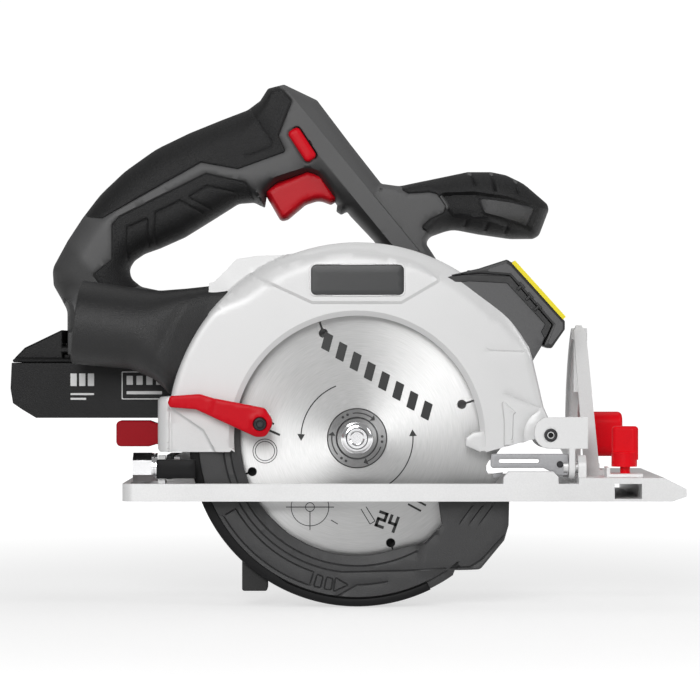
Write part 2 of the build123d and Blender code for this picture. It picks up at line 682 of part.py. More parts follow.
with BuildPart() as rotor_shaft:
    with BuildSketch(side_plane(CUP_END - 5)):
        disc(MOTOR_SHAFT_R, MOTOR)
    extrude(amount=CUP_END - 5 - GEAR_NEAR - GEAR_WIDTH)
    with BuildSketch(side_plane(GEAR_NEAR + GEAR_WIDTH)):
        outline(involute_gear(PINION_TEETH, 1.05 * GEAR_MODULE, 1.1 * GEAR_MODULE, MOTOR,
                              -90 + 180 / PINION_TEETH, 0.12))
    extrude(amount=GEAR_WIDTH)
save(rotor_shaft, "rotor_shaft")

with BuildPart() as cooling_fan:
    with BuildSketch(side_plane(CUP_END - 6)):
        disc(21, MOTOR)
        disc(MOTOR_SHAFT_R, MOTOR, Mode.SUBTRACT)
    extrude(amount=1.6)
    with BuildSketch(side_plane(CUP_END - 7.6)):
        disc(6, MOTOR)
        disc(MOTOR_SHAFT_R, MOTOR, Mode.SUBTRACT)
    extrude(amount=6)
    with BuildSketch(side_plane(CUP_END - 7.6)):
        with Locations(MOTOR):
            with PolarLocations(14, 12):
                Rectangle(12, 1.2, rotation=25)
    extrude(amount=5.6)
save(cooling_fan, "cooling_fan")

# ================================================================ saw head: handle shells
def body_outline():
    """Side outline of the main handle, the slanted beam, the front handle and the motor body in one."""
    outline([(-150, 77), (-150, 95), (-157.4, 108), (-158, 116.7), (-150, 131.2), (-142.4, 142.8),
             (-133.1, 155), (-120.4, 167.1), (-104.1, 178.7), (-86.7, 187.1), (-69.4, 194.1), (-56.6, 199), (-50.2, 203.7),
             (-46.1, 210), (-37.5, 212.1), (-20.6, 204.2), (-3.5, 181.6), (12.8, 160.8), (22, 159.5),
             (57.5, 166.9), (69.7, 166.9), (86.6, 160.9), (98.9, 150.3), (99.8, 147.4), (94.6, 133.8),
             (91.5, 132.1), (79.6, 132), (63.1, 134.4), (49.2, 137.1), (37.9, 133.1), (35.9, 129.8),
             (41.2, 121.8), (44, 100), (34, 74), (CUP_R, MOTOR[1]), (CUP_R - 4, MOTOR[1] - 18),
             (-CUP_R + 4, MOTOR[1] - 18), (-CUP_R, MOTOR[1]), (-40, 72), (-58, 77)])
    disc(CUP_R, MOTOR)
    outline([(-116.9, 101), (-118, 115.5), (-115.2, 120.8), (-110, 124.3), (-101.8, 127.2), (-89, 132.9),
             (-74, 142.2), (-61.2, 150.3), (-53.1, 150.9), (-47.3, 148.3), (-13.7, 149.8), (-7.9, 146.3),
             (-3.5, 144.1), (8.7, 131.2), (18, 119), (8, 113), (-55, 112), (-72, 101)], Mode.SUBTRACT)


def upper_grip_outline(mode=Mode.ADD):
    """Region of the soft cover along the back and top of the main handle."""
    outline([(-170, 142), (-130.8, 142), (-80, 170.8), (-61.1, 167.4), (-36.4, 176.3), (-40.5, 184.4),
             (-33.6, 202.3), (-41, 220), (-170, 220)], mode)


def lower_grip_outline(mode=Mode.ADD):
    """Region of the soft cover on the inside of the handle loop."""
    outline([(-135.9, 113), (-125.9, 120.8), (-125.9, 139), (-122.4, 142.8), (-77.7, 165.3), (-57.1, 160.5),
             (-52.5, 149), (-60, 112), (-112, 105), (-117.6, 106)], mode)


def front_grip_outline(mode=Mode.ADD):
    """Region of the soft cover round the front handle."""
    outline([(40, 180), (115, 180), (115, 120), (53, 120), (49.2, 137.1)], mode)


def housing_half(near, far, inner_near, inner_far):
    """One half shell between two Y planes; its cavity lies between the two inner planes."""
    with BuildSketch(side_plane(far)) as shell:
        body_outline()
    extrude(shell.sketch, amount=far - near)
    with BuildSketch(side_plane(inner_far)) as cavity:
        body_outline()
        offset(amount=-SHELL_WALL, kind=Kind.INTERSECTION, mode=Mode.REPLACE)
    extrude(cavity.sketch, amount=inner_far - inner_near, mode=Mode.SUBTRACT)


def grip_half(region, near, far, core_near, core_far):
    """One half of a soft cover: the covered stretch of the handle less the core that it wraps."""
    with BuildSketch(side_plane(far)) as cover:
        body_outline()
        region(Mode.INTERSECT)
    extrude(cover.sketch, amount=far - near)
    with BuildSketch(side_plane(core_far)) as core:
        body_outline()
        offset(amount=-GRIP_SKIN, kind=Kind.INTERSECTION, mode=Mode.REPLACE)
    extrude(core.sketch, amount=core_far - core_near, mode=Mode.SUBTRACT)


near_face = HANDLE_Y - HANDLE_HALF
far_face = HANDLE_Y + HANDLE_HALF
seam_near = HANDLE_Y - 0.05
seam_far = HANDLE_Y + 0.05
grips = []
for grip_name, grip_region in (("upper_grip", upper_grip_outline), ("lower_grip", lower_grip_outline),
                               ("front_grip", front_grip_outline)):
    with BuildPart() as near_grip:
        grip_half(grip_region, near_face, seam_near, near_face + GRIP_SKIN, HANDLE_Y)
    with BuildPart() as far_grip:
        grip_half(grip_region, seam_far, far_face, HANDLE_Y, far_face - GRIP_SKIN)
    with BuildPart() as grip:
        add(near_grip.part)
        add(far_grip.part)
    save(grip, grip_name)
    grips.append(grip)

SCREW_PLACES = [(-147, 112), (-22, 195), (0, 160), (30, 108), (-62, 93), (-141, 87)]
TRIGGER_PIN = (-17.0, 157.0)
TRIGGER_PIN_R = 1.5
LOCK_OFF = (-27.9, 180.0)
RAIL_LIP = (70.4, 72.6)
DOCK_REAR = -147.0
DOCK_FRONT = -62.0
DOCK_WALL = 2.8
DOCK_TOP = 85.0
TERMINALS = (-80.5, -65.5)


def dock_section(side):
    """Half section of the battery dock: roof, side wall and inward lip; side is -1 near, +1 far."""
    wall = BATTERY_Y + side * 34
    inner = wall - side * DOCK_WALL
    lip = wall - side * 7
    middle = seam_near if side < 0 else seam_far
    outline([(middle, RAIL_HIGH + 1), (middle, DOCK_TOP), (wall, DOCK_TOP), (wall, RAIL_LIP[0]),
             (lip, RAIL_LIP[0]), (lip, RAIL_LIP[1]), (inner, RAIL_LIP[1]), (inner, RAIL_HIGH + 1)])


def shell_openings():
    """Cuts the screw bores, trigger pocket, lock-off hole, terminal opening and soft-cover seats."""
    for place in SCREW_PLACES:
        with BuildSketch(side_plane(near_face + 3.2)) as recess:
            disc(4.3, place)
        extrude(recess.sketch, amount=3.2, mode=Mode.SUBTRACT)
        with BuildSketch(side_plane(near_face + 24)) as bore:
            disc(1.85, place)
        extrude(bore.sketch, amount=24, mode=Mode.SUBTRACT)
    with BuildSketch(side_plane(HANDLE_Y + 9.6)) as pocket:
        outline([(-50, 130), (-50, 158), (-42, 170), (-10, 170), (-8, 150), (-9, 130)])
    extrude(pocket.sketch, amount=19.2, mode=Mode.SUBTRACT)
    with BuildSketch(side_plane(far_face)) as hole:
        with Locations(LOCK_OFF):
            SlotOverall(18.6, 9.6, rotation=-63)
    extrude(hole.sketch, amount=2 * HANDLE_HALF, mode=Mode.SUBTRACT)
    with BuildSketch(Plane.XY.offset(RAIL_HIGH)) as terminal_hole:
        with Locations(((TERMINALS[0] + TERMINALS[1]) / 2, BATTERY_Y)):
            Rectangle(TERMINALS[1] - TERMINALS[0] + 0.6, 31.6)
    extrude(terminal_hole.sketch, amount=11, mode=Mode.SUBTRACT)
    for cover in grips:
        add(cover.part, mode=Mode.SUBTRACT)


def screw_bosses(low, high):
    """Adds the round bosses that the housing screws run through, between two Y planes."""
    with BuildSketch(side_plane(high)) as bosses:
        for place in SCREW_PLACES:
            disc(4.6, place)
    extrude(bosses.sketch, amount=high - low)


with BuildPart() as housing_right:
    housing_half(near_face, seam_near, near_face + SHELL_WALL, HANDLE_Y)
    screw_bosses(near_face + 2, seam_near)
    with BuildSketch(end_plane(DOCK_REAR)):
        dock_section(-1)
    extrude(amount=DOCK_FRONT - DOCK_REAR)
    with BuildSketch(side_plane(GEAR_HOUSING_FAR + FIT)):
        case_outline(gear_r + 6 + FIT, 17 + FIT)
        disc(6.8, MOTOR)
    extrude(amount=GEAR_HOUSING_FAR + FIT - near_face, mode=Mode.SUBTRACT)
    shell_openings()
save(housing_right, "housing_right")

with BuildPart() as housing_left:
    housing_half(seam_far, far_face, HANDLE_Y, far_face - SHELL_WALL)
    screw_bosses(seam_far, far_face - 2)
    with BuildSketch(end_plane(DOCK_REAR)):
        dock_section(1)
    extrude(amount=DOCK_FRONT - DOCK_REAR)
    with BuildSketch(side_plane(CUP_END)):
        disc(CUP_R, MOTOR)
    extrude(amount=CUP_END - far_face + 1)
    with BuildSketch(side_plane(CUP_END - 2.4)):
        disc(CUP_R - SHELL_WALL, MOTOR)
    extrude(amount=CUP_END - HANDLE_Y, mode=Mode.SUBTRACT)
    # cooling slots in the cup's end
    with BuildSketch(side_plane(CUP_END)):
        with Locations(MOTOR):
            with PolarLocations(14, 12):
                Rectangle(11, 2.4)
    extrude(amount=2.4, mode=Mode.SUBTRACT)
    shell_openings()
save(housing_left, "housing_left")

screw_group("housing_screws", [(x, near_face + 3.2, z) for x, z in SCREW_PLACES], 19, 1.8, 4.0, 2.6, (0, 1, 0))

with BuildPart() as lock_off_button:
    with BuildSketch(side_plane(far_face + 2.5)):
        with Locations(LOCK_OFF):
            SlotOverall(18, 9, rotation=-63)
    extrude(amount=2 * HANDLE_HALF + 5)
save(lock_off_button, "lock_off_button")

with BuildPart() as trigger:
    with BuildSketch(side_plane(HANDLE_Y + 9)):
        outline([(-46.8, 154.4), (-39.2, 141.1), (-35.7, 142.2), (-26.5, 149.8), (-19.5, 152.1), (-13.7, 151),
                 (-12.5, 156), (-14, 161), (-21, 163.5), (-25.3, 165), (-39.2, 161.3)])
        disc(TRIGGER_PIN_R + RUNNING, TRIGGER_PIN, Mode.SUBTRACT)
    extrude(amount=18)
    fillet(trigger.edges().filter_by(Axis.Y).group_by(Axis.Z)[0], radius=1.5)
save(trigger, "trigger")

with BuildPart() as trigger_pin:
    with BuildSketch(side_plane(far_face - SHELL_WALL)):
        disc(TRIGGER_PIN_R, TRIGGER_PIN)
    extrude(amount=2 * (HANDLE_HALF - SHELL_WALL))
save(trigger_pin, "trigger_pin")

with BuildPart() as trigger_switch:
    with Locations((-48.5, HANDLE_Y, 176)):
        Box(25, 16, 13)
    with Locations((-41, HANDLE_Y, 168.6)):
        Cylinder(2.2, 2.2)
save(trigger_switch, "trigger_switch")

with BuildPart() as control_board:
    with Locations((-98, HANDLE_Y + 2, 90)):
        Box(26, 22, 1.6)
    with Locations((-104, HANDLE_Y + 2, 93.3)):
        Box(9, 18, 5)
    with Locations(*[(-92, HANDLE_Y + y, 93) for y in (-4, 8)]):
        Cylinder(3, 4.4)
save(control_board, "control_board")

with BuildPart() as battery_terminals:
    with Locations(((TERMINALS[0] + TERMINALS[1]) / 2, BATTERY_Y, 82)):
        Box(TERMINALS[1] - TERMINALS[0], 31, 9)
    with Locations(*[((TERMINALS[0] + TERMINALS[1]) / 2, BATTERY_Y + y, 74.8) for y in (-10, 0, 10)]):
        Box(12, 0.8, 6)
save(battery_terminals, "battery_terminals")

with BuildPart() as spindle_lock_button:
    with BuildSketch(end_plane(-38)):
        disc(5.4, (LOCK_PIN_Y, AXLE_Z))
    extrude(amount=7.5)
    with BuildSketch(end_plane(-38)):
        disc(LOCK_PIN_R, (LOCK_PIN_Y, AXLE_Z))
    extrude(amount=29.6)
save(spindle_lock_button, "spindle_lock_button")

with BuildPart() as depth_lock_stud:
    with BuildSketch(side_plane(38)):
        disc(LOCK_BOLT_R, LOCK_BOLT)
    extrude(amount=38 - UPPER_GUARD_FAR + UPPER_GUARD_WALL)
    with BuildSketch(side_plane(STRUT_NEAR - FIT)):
        disc(5, LOCK_BOLT)
    extrude(amount=STRUT_NEAR - FIT - UPPER_GUARD_FAR)
save(depth_lock_stud, "depth_lock_stud")

with BuildPart() as depth_lever:
    with BuildSketch(side_plane(35.6)):
        disc(7.5, LOCK_BOLT)
        outline([(-70, 37.3), (-102, 37.3), (-105.5, 38.6), (-122.3, 38.6), (-122.3, 25.5), (-105.5, 25.5),
                 (-102, 26.6), (-70, 26.6)])
        disc(LOCK_BOLT_R + RUNNING, LOCK_BOLT, Mode.SUBTRACT)
    extrude(amount=11.4)
    fillet(depth_lever.edges().filter_by(Axis.Y).group_by(Axis.X)[0], radius=2.5)
save(depth_lever, "depth_lever")

# ================================================================ laser guide
with BuildPart() as laser_body:
    with BuildSketch(side_plane(LASER_FAR)):
        outline([(37.9, 107.3), (42.8, 110.2), (54.8, 111.6), (75.3, 110.8), (96.3, 86.9), (91.2, 75.8),
                 (88, 70.5), (60, 80)])
        disc(UPPER_GUARD_R + 0.1, (0.5, AXLE_Z + 3), Mode.SUBTRACT)
    extrude(amount=LASER_FAR - LASER_NEAR)
    with BuildSketch(side_plane(LASER_FAR)):
        with Locations((82, 92)):
            Rectangle(17, 9, rotation=-48)
    extrude(amount=LASER_FAR - LASER_NEAR - 8, mode=Mode.SUBTRACT)
save(laser_body, "laser_body")

with BuildPart() as laser_cells:
    with BuildSketch(side_plane(LASER_FAR - 3)):
        with Locations((82, 92)):
            Rectangle(16, 8, rotation=-48)
    extrude(amount=LASER_FAR - LASER_NEAR - 12)
save(laser_cells, "laser_cells")

with BuildPart() as laser_cap:
    with BuildSketch(side_plane(LASER_FAR + LASER_CAP_LAP)):
        outline([(60.3, 112.2), (60.3, 114.7), (74.3, 119.4), (77.2, 117.5), (103, 88.8), (103, 84.7),
                 (96.3, 75.1), (92.2, 76.4), (96.9, 87), (75.6, 111.4)])
    extrude(amount=LASER_FAR - LASER_NEAR + 2 * LASER_CAP_LAP)
save(laser_cap, "laser_cap")

with BuildPart() as laser_switch:
    with Locations((57.4, -3, 112.95)):
        Box(5, 5, 2.6)
save(laser_switch, "laser_switch")

# ================================================================ lower guard
with BuildPart() as lower_guard:
    start, end = LOWER_GUARD_REAR_ANGLE, LOWER_GUARD_FRONT_ANGLE
    with BuildSketch(side_plane(LOWER_GUARD_FAR)):
        sector(LOWER_GUARD_R - LOWER_GUARD_WALL, LOWER_GUARD_R, start, end, AXLE)
        outline([(48.6, -34.8), (61.1, -34.3), (73, -19.9), (75, -12.4), (75.5, -1.5), (60, -10)])
        disc(LOWER_GUARD_R - LOWER_GUARD_WALL, AXLE, Mode.SUBTRACT)
    extrude(amount=LOWER_GUARD_FAR - LOWER_GUARD_NEAR)
    with BuildSketch(side_plane(LOWER_GUARD_NEAR + LOWER_GUARD_WALL)):
        sector(LOWER_GUARD_WINDOW_R, LOWER_GUARD_R - 0.5, start, end, AXLE)
        sector(43, LOWER_GUARD_WINDOW_R + 1, -195, -182, AXLE)
    extrude(amount=LOWER_GUARD_WALL)
    with BuildSketch(side_plane(LOWER_GUARD_FAR)):
        sector(20, LOWER_GUARD_R - 0.5, start, end, AXLE)
        disc(30, AXLE)
    extrude(amount=LOWER_GUARD_WALL)
    with BuildSketch(side_plane(LOWER_GUARD_FAR + 1.2)):
        disc(NOSE_R + 5, AXLE)
    extrude(amount=4)
    with BuildSketch(side_plane(LOWER_GUARD_FAR + 3)):
        disc(NOSE_R + RUNNING, AXLE)
    extrude(amount=8, mode=Mode.SUBTRACT)
save(lower_guard, "lower_guard")

with BuildPart() as guard_bumper:
    with BuildSketch(side_plane(10)):
        outline([(-57.5, -33), (-57.5, -42), (-54, -45.6), (-44.5, -45.6), (-44.5, -33)])
        disc(BEAK_R + 1.4, AXLE, Mode.INTERSECT)
        disc(LOWER_GUARD_R + 0.02, AXLE, Mode.SUBTRACT)
    extrude(amount=18)
save(guard_bumper, "guard_bumper")

LEVER_SCREW = (-47.9, 38.0)
with BuildPart() as guard_lever:
    with BuildSketch(side_plane(lever_far)):
        outline([(-93.3, 49.8), (-92.3, 51.8), (-77.5, 52.8), (-71.1, 50.8), (-45.4, 45.9), (-41, 39),
                 (-44.9, 31.6), (-49.9, 31.6), (-79.5, 45.4), (-92.3, 46.4)])
    extrude(amount=lever_far - lever_near)
    with BuildSketch(side_plane(LOWER_GUARD_NEAR)):
        disc(5, LEVER_SCREW)
    extrude(amount=LOWER_GUARD_NEAR - lever_far)
    with BuildSketch(side_plane(LOWER_GUARD_NEAR)):
        disc(2.1, LEVER_SCREW)
    extrude(amount=20, mode=Mode.SUBTRACT)
save(guard_lever, "guard_lever")

screw_group("guard_lever_screw", [(LEVER_SCREW[0], lever_near, LEVER_SCREW[1])],
            LOWER_GUARD_NEAR - lever_near, 2.05, 4.2, 2.0, (0, 1, 0))

with BuildPart() as lower_guard_spring:
    for turn in range(2):
        with BuildSketch(side_plane(8.8 - 1.1 * turn)):
            disc(NOSE_R + 2.4, AXLE)
            disc(NOSE_R + 0.9, AXLE, Mode.SUBTRACT)
        extrude(amount=0.9)
save(lower_guard_spring, "lower_guard_spring")

# ================================================================ arbor
with BuildPart() as spindle:
    for near, far, radius in ((-half_blade, 5, BLADE_BORE_R), (5, 19, SPINDLE_R), (19, 35, 7.5), (35, 44.8, 5)):
        with BuildSketch(side_plane(far)):
            disc(radius, AXLE)
        extrude(amount=far - near)
    with BuildSketch(side_plane(24)):
        disc(3, AXLE)
    extrude(amount=26, mode=Mode.SUBTRACT)
    # four blind holes for the lock pin, a quarter turn apart
    for quarter in range(4):
        out_x, out_z = polar(1, 90 * quarter)
        hole_floor = Plane(origin=(LOCK_HOLE_FLOOR * out_x, LOCK_PIN_Y, AXLE_Z + LOCK_HOLE_FLOOR * out_z),
                           z_dir=(out_x, 0, out_z))
        with BuildSketch(hole_floor):
            Circle(LOCK_PIN_R + 0.25)
        extrude(amount=LOCK_HOLE_FLOOR, mode=Mode.SUBTRACT)
save(spindle, "spindle")

with BuildPart() as output_gear:
    with BuildSketch(side_plane(GEAR_NEAR + GEAR_WIDTH)):
        outline(involute_gear(GEAR_TEETH, 0.55 * GEAR_MODULE, 1.3 * GEAR_MODULE, AXLE, 90, 0.12))
        disc(7.5, AXLE, Mode.SUBTRACT)
        with Locations(AXLE):
            with PolarLocations(12.8, 6):
                Circle(2.4, mode=Mode.SUBTRACT)
    extrude(amount=GEAR_WIDTH)
save(output_gear, "output_gear")


def tooth(angle):
    """Edge of the blade round one tooth, from the gullet behind its back to the one ahead of its face."""
    return [polar(66.6, angle - 12, AXLE), polar(69.5, angle - 9, AXLE), polar(72.4, angle - 5.5, AXLE),
            polar(74.1, angle - 1.8, AXLE), polar(70.4, angle - 3.3, AXLE), polar(70.1, angle - 1.5, AXLE),
            polar(68.2, angle - 2.2, AXLE), polar(66.6, angle - 0.8, AXLE), polar(66.1, angle + 1.2, AXLE)]


TOOTH_PHASE = 1.8
with BuildPart() as blade:
    with BuildSketch(side_plane(half_blade)):
        outline([point for k in range(TEETH) for point in tooth(TOOTH_PHASE + 360 * k / TEETH)])
        disc(BLADE_BORE_R, AXLE, Mode.SUBTRACT)
        for k in range(4):
            with Locations(polar(60.5, 17.8 + 90 * k, AXLE)):
                Rectangle(13, 0.9, rotation=17.8 + 90 * k, mode=Mode.SUBTRACT)
            disc(2.3, polar(55, 17.8 + 90 * k, AXLE), Mode.SUBTRACT)
    extrude(amount=BLADE_THICK)
save(blade, "blade")

with BuildPart() as tooth_tips:
    with BuildSketch(side_plane(KERF / 2)):
        for k in range(TEETH):
            angle = TOOTH_PHASE + 360 * k / TEETH
            outline([polar(BLADE_R, angle, AXLE), polar(74.5, angle - 1.75, AXLE), polar(70.5, angle - 3.25, AXLE),
                     polar(70.2, angle - 1.45, AXLE)])
    extrude(amount=KERF)
save(tooth_tips, "tooth_tips")

with BuildPart() as inner_flange:
    with BuildSketch(side_plane(4.6)):
        disc(15, AXLE)
    extrude(amount=4.6 - half_blade)
    with BuildSketch(side_plane(8.4)):
        disc(9, AXLE)
    extrude(amount=4)
    with BuildSketch(side_plane(8.4)):
        disc(SPINDLE_R, AXLE)
    extrude(amount=3.4, mode=Mode.SUBTRACT)
    with BuildSketch(side_plane(8.4)):
        disc(BLADE_BORE_R, AXLE)
    extrude(amount=9, mode=Mode.SUBTRACT)
save(inner_flange, "inner_flange")

with BuildPart() as outer_flange:
    with BuildSketch(side_plane(-half_blade)):
        disc(15, AXLE)
    extrude(amount=3)
    with BuildSketch(side_plane(-half_blade - 2)):
        disc(10, AXLE)
    extrude(amount=1, mode=Mode.SUBTRACT)
    with BuildSketch(side_plane(-half_blade)):
        disc(3.1, AXLE)
    extrude(amount=3, mode=Mode.SUBTRACT)
save(outer_flange, "outer_flange")

with BuildPart() as blade_bolt:
    with BuildSketch(side_plane(-half_blade - 2)):
        disc(8, AXLE)
    extrude(amount=1.4)
    with BuildSketch(side_plane(-half_blade - 3.4)):
        disc(6.7, AXLE)
    extrude(amount=5)
    with BuildSketch(side_plane(-half_blade - 5)):
        with Locations(AXLE):
            RegularPolygon(3.6, 6)
    extrude(amount=6, mode=Mode.SUBTRACT)
    with BuildSketch(side_plane(16)):
        disc(2.95, AXLE)
    extrude(amount=19)
save(blade_bolt, "blade_bolt")

# ================================================================ battery pack
TONGUE_FRONT = -63.5
with BuildPart() as battery_case:
    with BuildSketch(side_plane(BATTERY_Y + BATTERY_WIDTH / 2)):
        outline([(-175.4, 68), (BATTERY_REAR, 55), (-174.8, 47.5), (-170, 44.2), (-163, BATTERY_BOTTOM),
                 (-63, BATTERY_BOTTOM), (-61, 42), (-61, 68)])
    extrude(amount=BATTERY_WIDTH)
    fillet(battery_case.edges().filter_by(Axis.Z).group_by(Axis.X)[-1], radius=3)
    with Locations((-118, BATTERY_Y, 56.2)):
        Box(103, BATTERY_WIDTH - 4.6, 24, mode=Mode.SUBTRACT)
    with Locations((-174, BATTERY_Y, 61)):
        Box(12, 31, 11, mode=Mode.SUBTRACT)
save(battery_case, "battery_case")

with BuildPart() as battery_lid:
    with BuildSketch(side_plane(BATTERY_Y + BATTERY_WIDTH / 2 - 0.3)):
        outline([(-175, 68.2), (-175, BATTERY_TOP), (-61.3, BATTERY_TOP), (-61.3, 68.2)])
    extrude(amount=BATTERY_WIDTH - 0.6)
    with BuildSketch(end_plane(-150)):
        outline([(34, BATTERY_TOP), (86, BATTERY_TOP), (86, 72.9), (90, 72.9), (90, RAIL_HIGH + 0.2),
                 (30, RAIL_HIGH + 0.2), (30, 72.9), (34, 72.9)])
    extrude(amount=TONGUE_FRONT + 150)
    with BuildSketch(side_plane(BATTERY_Y + 30)):
        outline([(-175, BATTERY_TOP), (-169.4, 75.7), (-150, 85), (-150, BATTERY_TOP)])
    extrude(amount=60)
    with Locations(*[(-72.5, BATTERY_Y + y, 74) for y in (-10, 0, 10)]):
        Box(19, 2.4, 7, mode=Mode.SUBTRACT)
save(battery_lid, "battery_lid")

with BuildPart() as battery_cells:
    for k in range(5):
        with BuildSketch(side_plane(BATTERY_Y + CELL_LENGTH / 2)):
            disc(CELL_R, (-156 + 19 * k, 54.5))
        extrude(amount=CELL_LENGTH)
save(battery_cells, "battery_cells")

with BuildPart() as battery_latch:
    with Locations((-174.1, BATTERY_Y, 61)):
        Box(7.4, 30, 10)
save(battery_latch, "battery_latch")
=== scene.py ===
"""Looks of the cordless circular saw: casings, soft grips, guards, castings and finishes around the CAD frame.

Shapes are worked out in millimetres in the saw's own frame (X forward, Z up, the near side at low Y)
and are written to the meshes in metres.
"""
import json
from math import atan2, ceil, cos, degrees, pi, radians, sin, tan

import bmesh
import bpy
import numpy as np
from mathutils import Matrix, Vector
from mathutils.geometry import delaunay_2d_cdt

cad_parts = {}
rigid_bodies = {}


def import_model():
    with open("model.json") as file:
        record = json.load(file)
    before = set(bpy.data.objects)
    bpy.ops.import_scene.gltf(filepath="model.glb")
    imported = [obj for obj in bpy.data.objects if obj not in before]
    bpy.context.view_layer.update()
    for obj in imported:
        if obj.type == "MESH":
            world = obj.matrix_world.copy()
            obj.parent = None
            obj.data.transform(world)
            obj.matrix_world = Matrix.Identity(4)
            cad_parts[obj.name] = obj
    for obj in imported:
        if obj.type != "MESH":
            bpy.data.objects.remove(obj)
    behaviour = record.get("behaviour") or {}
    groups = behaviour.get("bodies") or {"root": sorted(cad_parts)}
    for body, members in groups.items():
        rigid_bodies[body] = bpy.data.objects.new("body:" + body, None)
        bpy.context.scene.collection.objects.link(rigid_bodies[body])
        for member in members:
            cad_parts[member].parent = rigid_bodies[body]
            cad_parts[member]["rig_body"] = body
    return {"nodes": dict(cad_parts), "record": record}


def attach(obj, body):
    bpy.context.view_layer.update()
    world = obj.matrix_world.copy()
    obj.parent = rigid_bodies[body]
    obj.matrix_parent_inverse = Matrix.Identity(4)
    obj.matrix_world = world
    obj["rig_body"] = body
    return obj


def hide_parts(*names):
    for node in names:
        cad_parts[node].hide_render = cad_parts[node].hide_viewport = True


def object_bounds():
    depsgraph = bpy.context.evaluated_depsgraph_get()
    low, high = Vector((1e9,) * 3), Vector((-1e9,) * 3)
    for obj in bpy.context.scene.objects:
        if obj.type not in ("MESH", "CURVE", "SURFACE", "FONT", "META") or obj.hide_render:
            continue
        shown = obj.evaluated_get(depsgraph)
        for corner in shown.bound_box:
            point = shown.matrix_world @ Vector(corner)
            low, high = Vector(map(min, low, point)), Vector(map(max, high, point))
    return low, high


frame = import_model()
CAD_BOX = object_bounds()
MM = 0.001
FINE = 1.0   # how much coarser the relief grids are while trying things

# ---------------------------------------------------------------- places, in millimetres
AXLE = np.array([0.0, 30.5])
GUARD_CENTRE = np.array([0.5, 33.5])
GUARD_R = 94.5
GUARD_NEAR, GUARD_FAR = -15.0, 16.0
WINDOW_R = 61.0
LOWER_R = 83.0
FOOT_Z = 24.0
LOWER_NEAR, LOWER_FAR = -11.5, 12.0
HANDLE_Y = 58.0
HANDLE_HALF = 18.0
PIVOT = np.array([95.5, 32.5])
MOTOR = np.array([0.0, 55.25])
PORT_Y = 1.0


# ---------------------------------------------------------------- outlines
def turn(angles, radius, centre=(0.0, 0.0)):
    """Points of a circle: centre plus radius times (cosine, sine) of each angle in degrees."""
    rad = np.radians(angles)
    return np.stack([centre[0] + radius * np.cos(rad), centre[1] + radius * np.sin(rad)], axis=-1)


def arc(centre, radius, start, end, count=48):
    """An arc from one angle to another, evenly spaced."""
    return turn(np.linspace(start, end, count), radius, centre)


def rounded(points, radius):
    """Closed outline with each corner replaced by an arc that touches both of its sides."""
    corners = np.asarray(points, float)
    radii = np.broadcast_to(radius, len(corners))
    pieces = []
    for p, a, b, r in zip(corners, np.roll(corners, 1, 0), np.roll(corners, -1, 0), radii):
        u, v = a - p, b - p
        long_u, long_v = np.linalg.norm(u), np.linalg.norm(v)
        u, v = u / long_u, v / long_v
        half = 0.5 * np.arccos(np.clip(u @ v, -1, 1))
        back = min(r / tan(half), 0.47 * long_u, 0.47 * long_v) if half < 1.5 else 0.0
        if back < 0.05:
            pieces.append(p[None])
            continue
        real = back * tan(half)
        middle = p + (u + v) / np.linalg.norm(u + v) * real / sin(half)
        first, last = p + u * back - middle, p + v * back - middle
        begin = atan2(first[1], first[0])
        sweep = (atan2(last[1], last[0]) - begin + pi) % (2 * pi) - pi
        count = max(2, ceil(abs(degrees(sweep)) / 10)) + 1
        pieces.append(turn(np.degrees(begin + sweep * np.linspace(0, 1, count)), real, middle))
    return np.vstack(pieces)


def dense(line, step, loop=True):
    """The same line with points no further apart than step; its corners stay."""
    line = np.asarray(line, float)
    starts, ends = (line, np.roll(line, -1, 0)) if loop else (line[:-1], line[1:])
    runs = [a + (b - a) * np.linspace(0, 1, max(1, ceil(np.linalg.norm(b - a) / step)), endpoint=False)[:, None]
            for a, b in zip(starts, ends)]
    return np.vstack(runs if loop else runs + [line[-1:]])


def area(loop):
    """Signed area of a closed outline: positive when it runs anticlockwise."""
    nxt = np.roll(loop, -1, 0)
    return 0.5 * float(np.sum(loop[:, 0] * nxt[:, 1] - nxt[:, 0] * loop[:, 1]))


def reach(points, line, loop=True):
    """Distance from each point to a line of straight runs."""
    line = np.asarray(line, float)
    a = line if loop else line[:-1]
    b = np.roll(line, -1, 0) if loop else line[1:]
    run = b - a
    size = np.maximum((run ** 2).sum(1), 1e-12)
    out = np.empty(len(points))
    for k in range(0, len(points), 4000):
        rel = points[k:k + 4000, None] - a[None]
        t = np.clip((rel * run).sum(2) / size, 0, 1)
        out[k:k + 4000] = np.sqrt(((rel - t[..., None] * run) ** 2).sum(2)).min(1)
    return out


def inside(points, loop):
    """Whether each point lies inside a closed outline, by counting the sides that a level ray crosses."""
    a, b = loop, np.roll(loop, -1, 0)
    out = np.zeros(len(points), bool)
    for (ax, az), (bx, bz) in zip(a, b):
        if az == bz:
            continue
        cross = (points[:, 1] > az) != (points[:, 1] > bz)
        out ^= cross & (points[:, 0] < (bx - ax) * (points[:, 1] - az) / (bz - az) + ax)
    return out


def depth_in(points, loop):
    """Distance from an outline, positive inside it and negative outside."""
    loop = np.asarray(loop, float)
    return np.where(inside(points, loop), 1.0, -1.0) * reach(points, loop)


def ease(value, width):
    """Smooth step: 0 below zero, 1 above width, with no corner between."""
    t = np.clip(value / width, 0, 1)
    return t * t * (3 - 2 * t)


def shoulder(depth, radius):
    """Quarter-round rise: 0 at the edge, 1 once depth reaches the radius."""
    t = np.clip(depth / radius, 0, 1)
    return np.sqrt(np.maximum(0, 1 - (1 - t) ** 2))


def groove(points, line, width, loop=False):
    """Soft trench along a line: 1 on the line, fading as a bell curve of this width."""
    return np.exp(-(reach(points, line, loop) / width) ** 2)


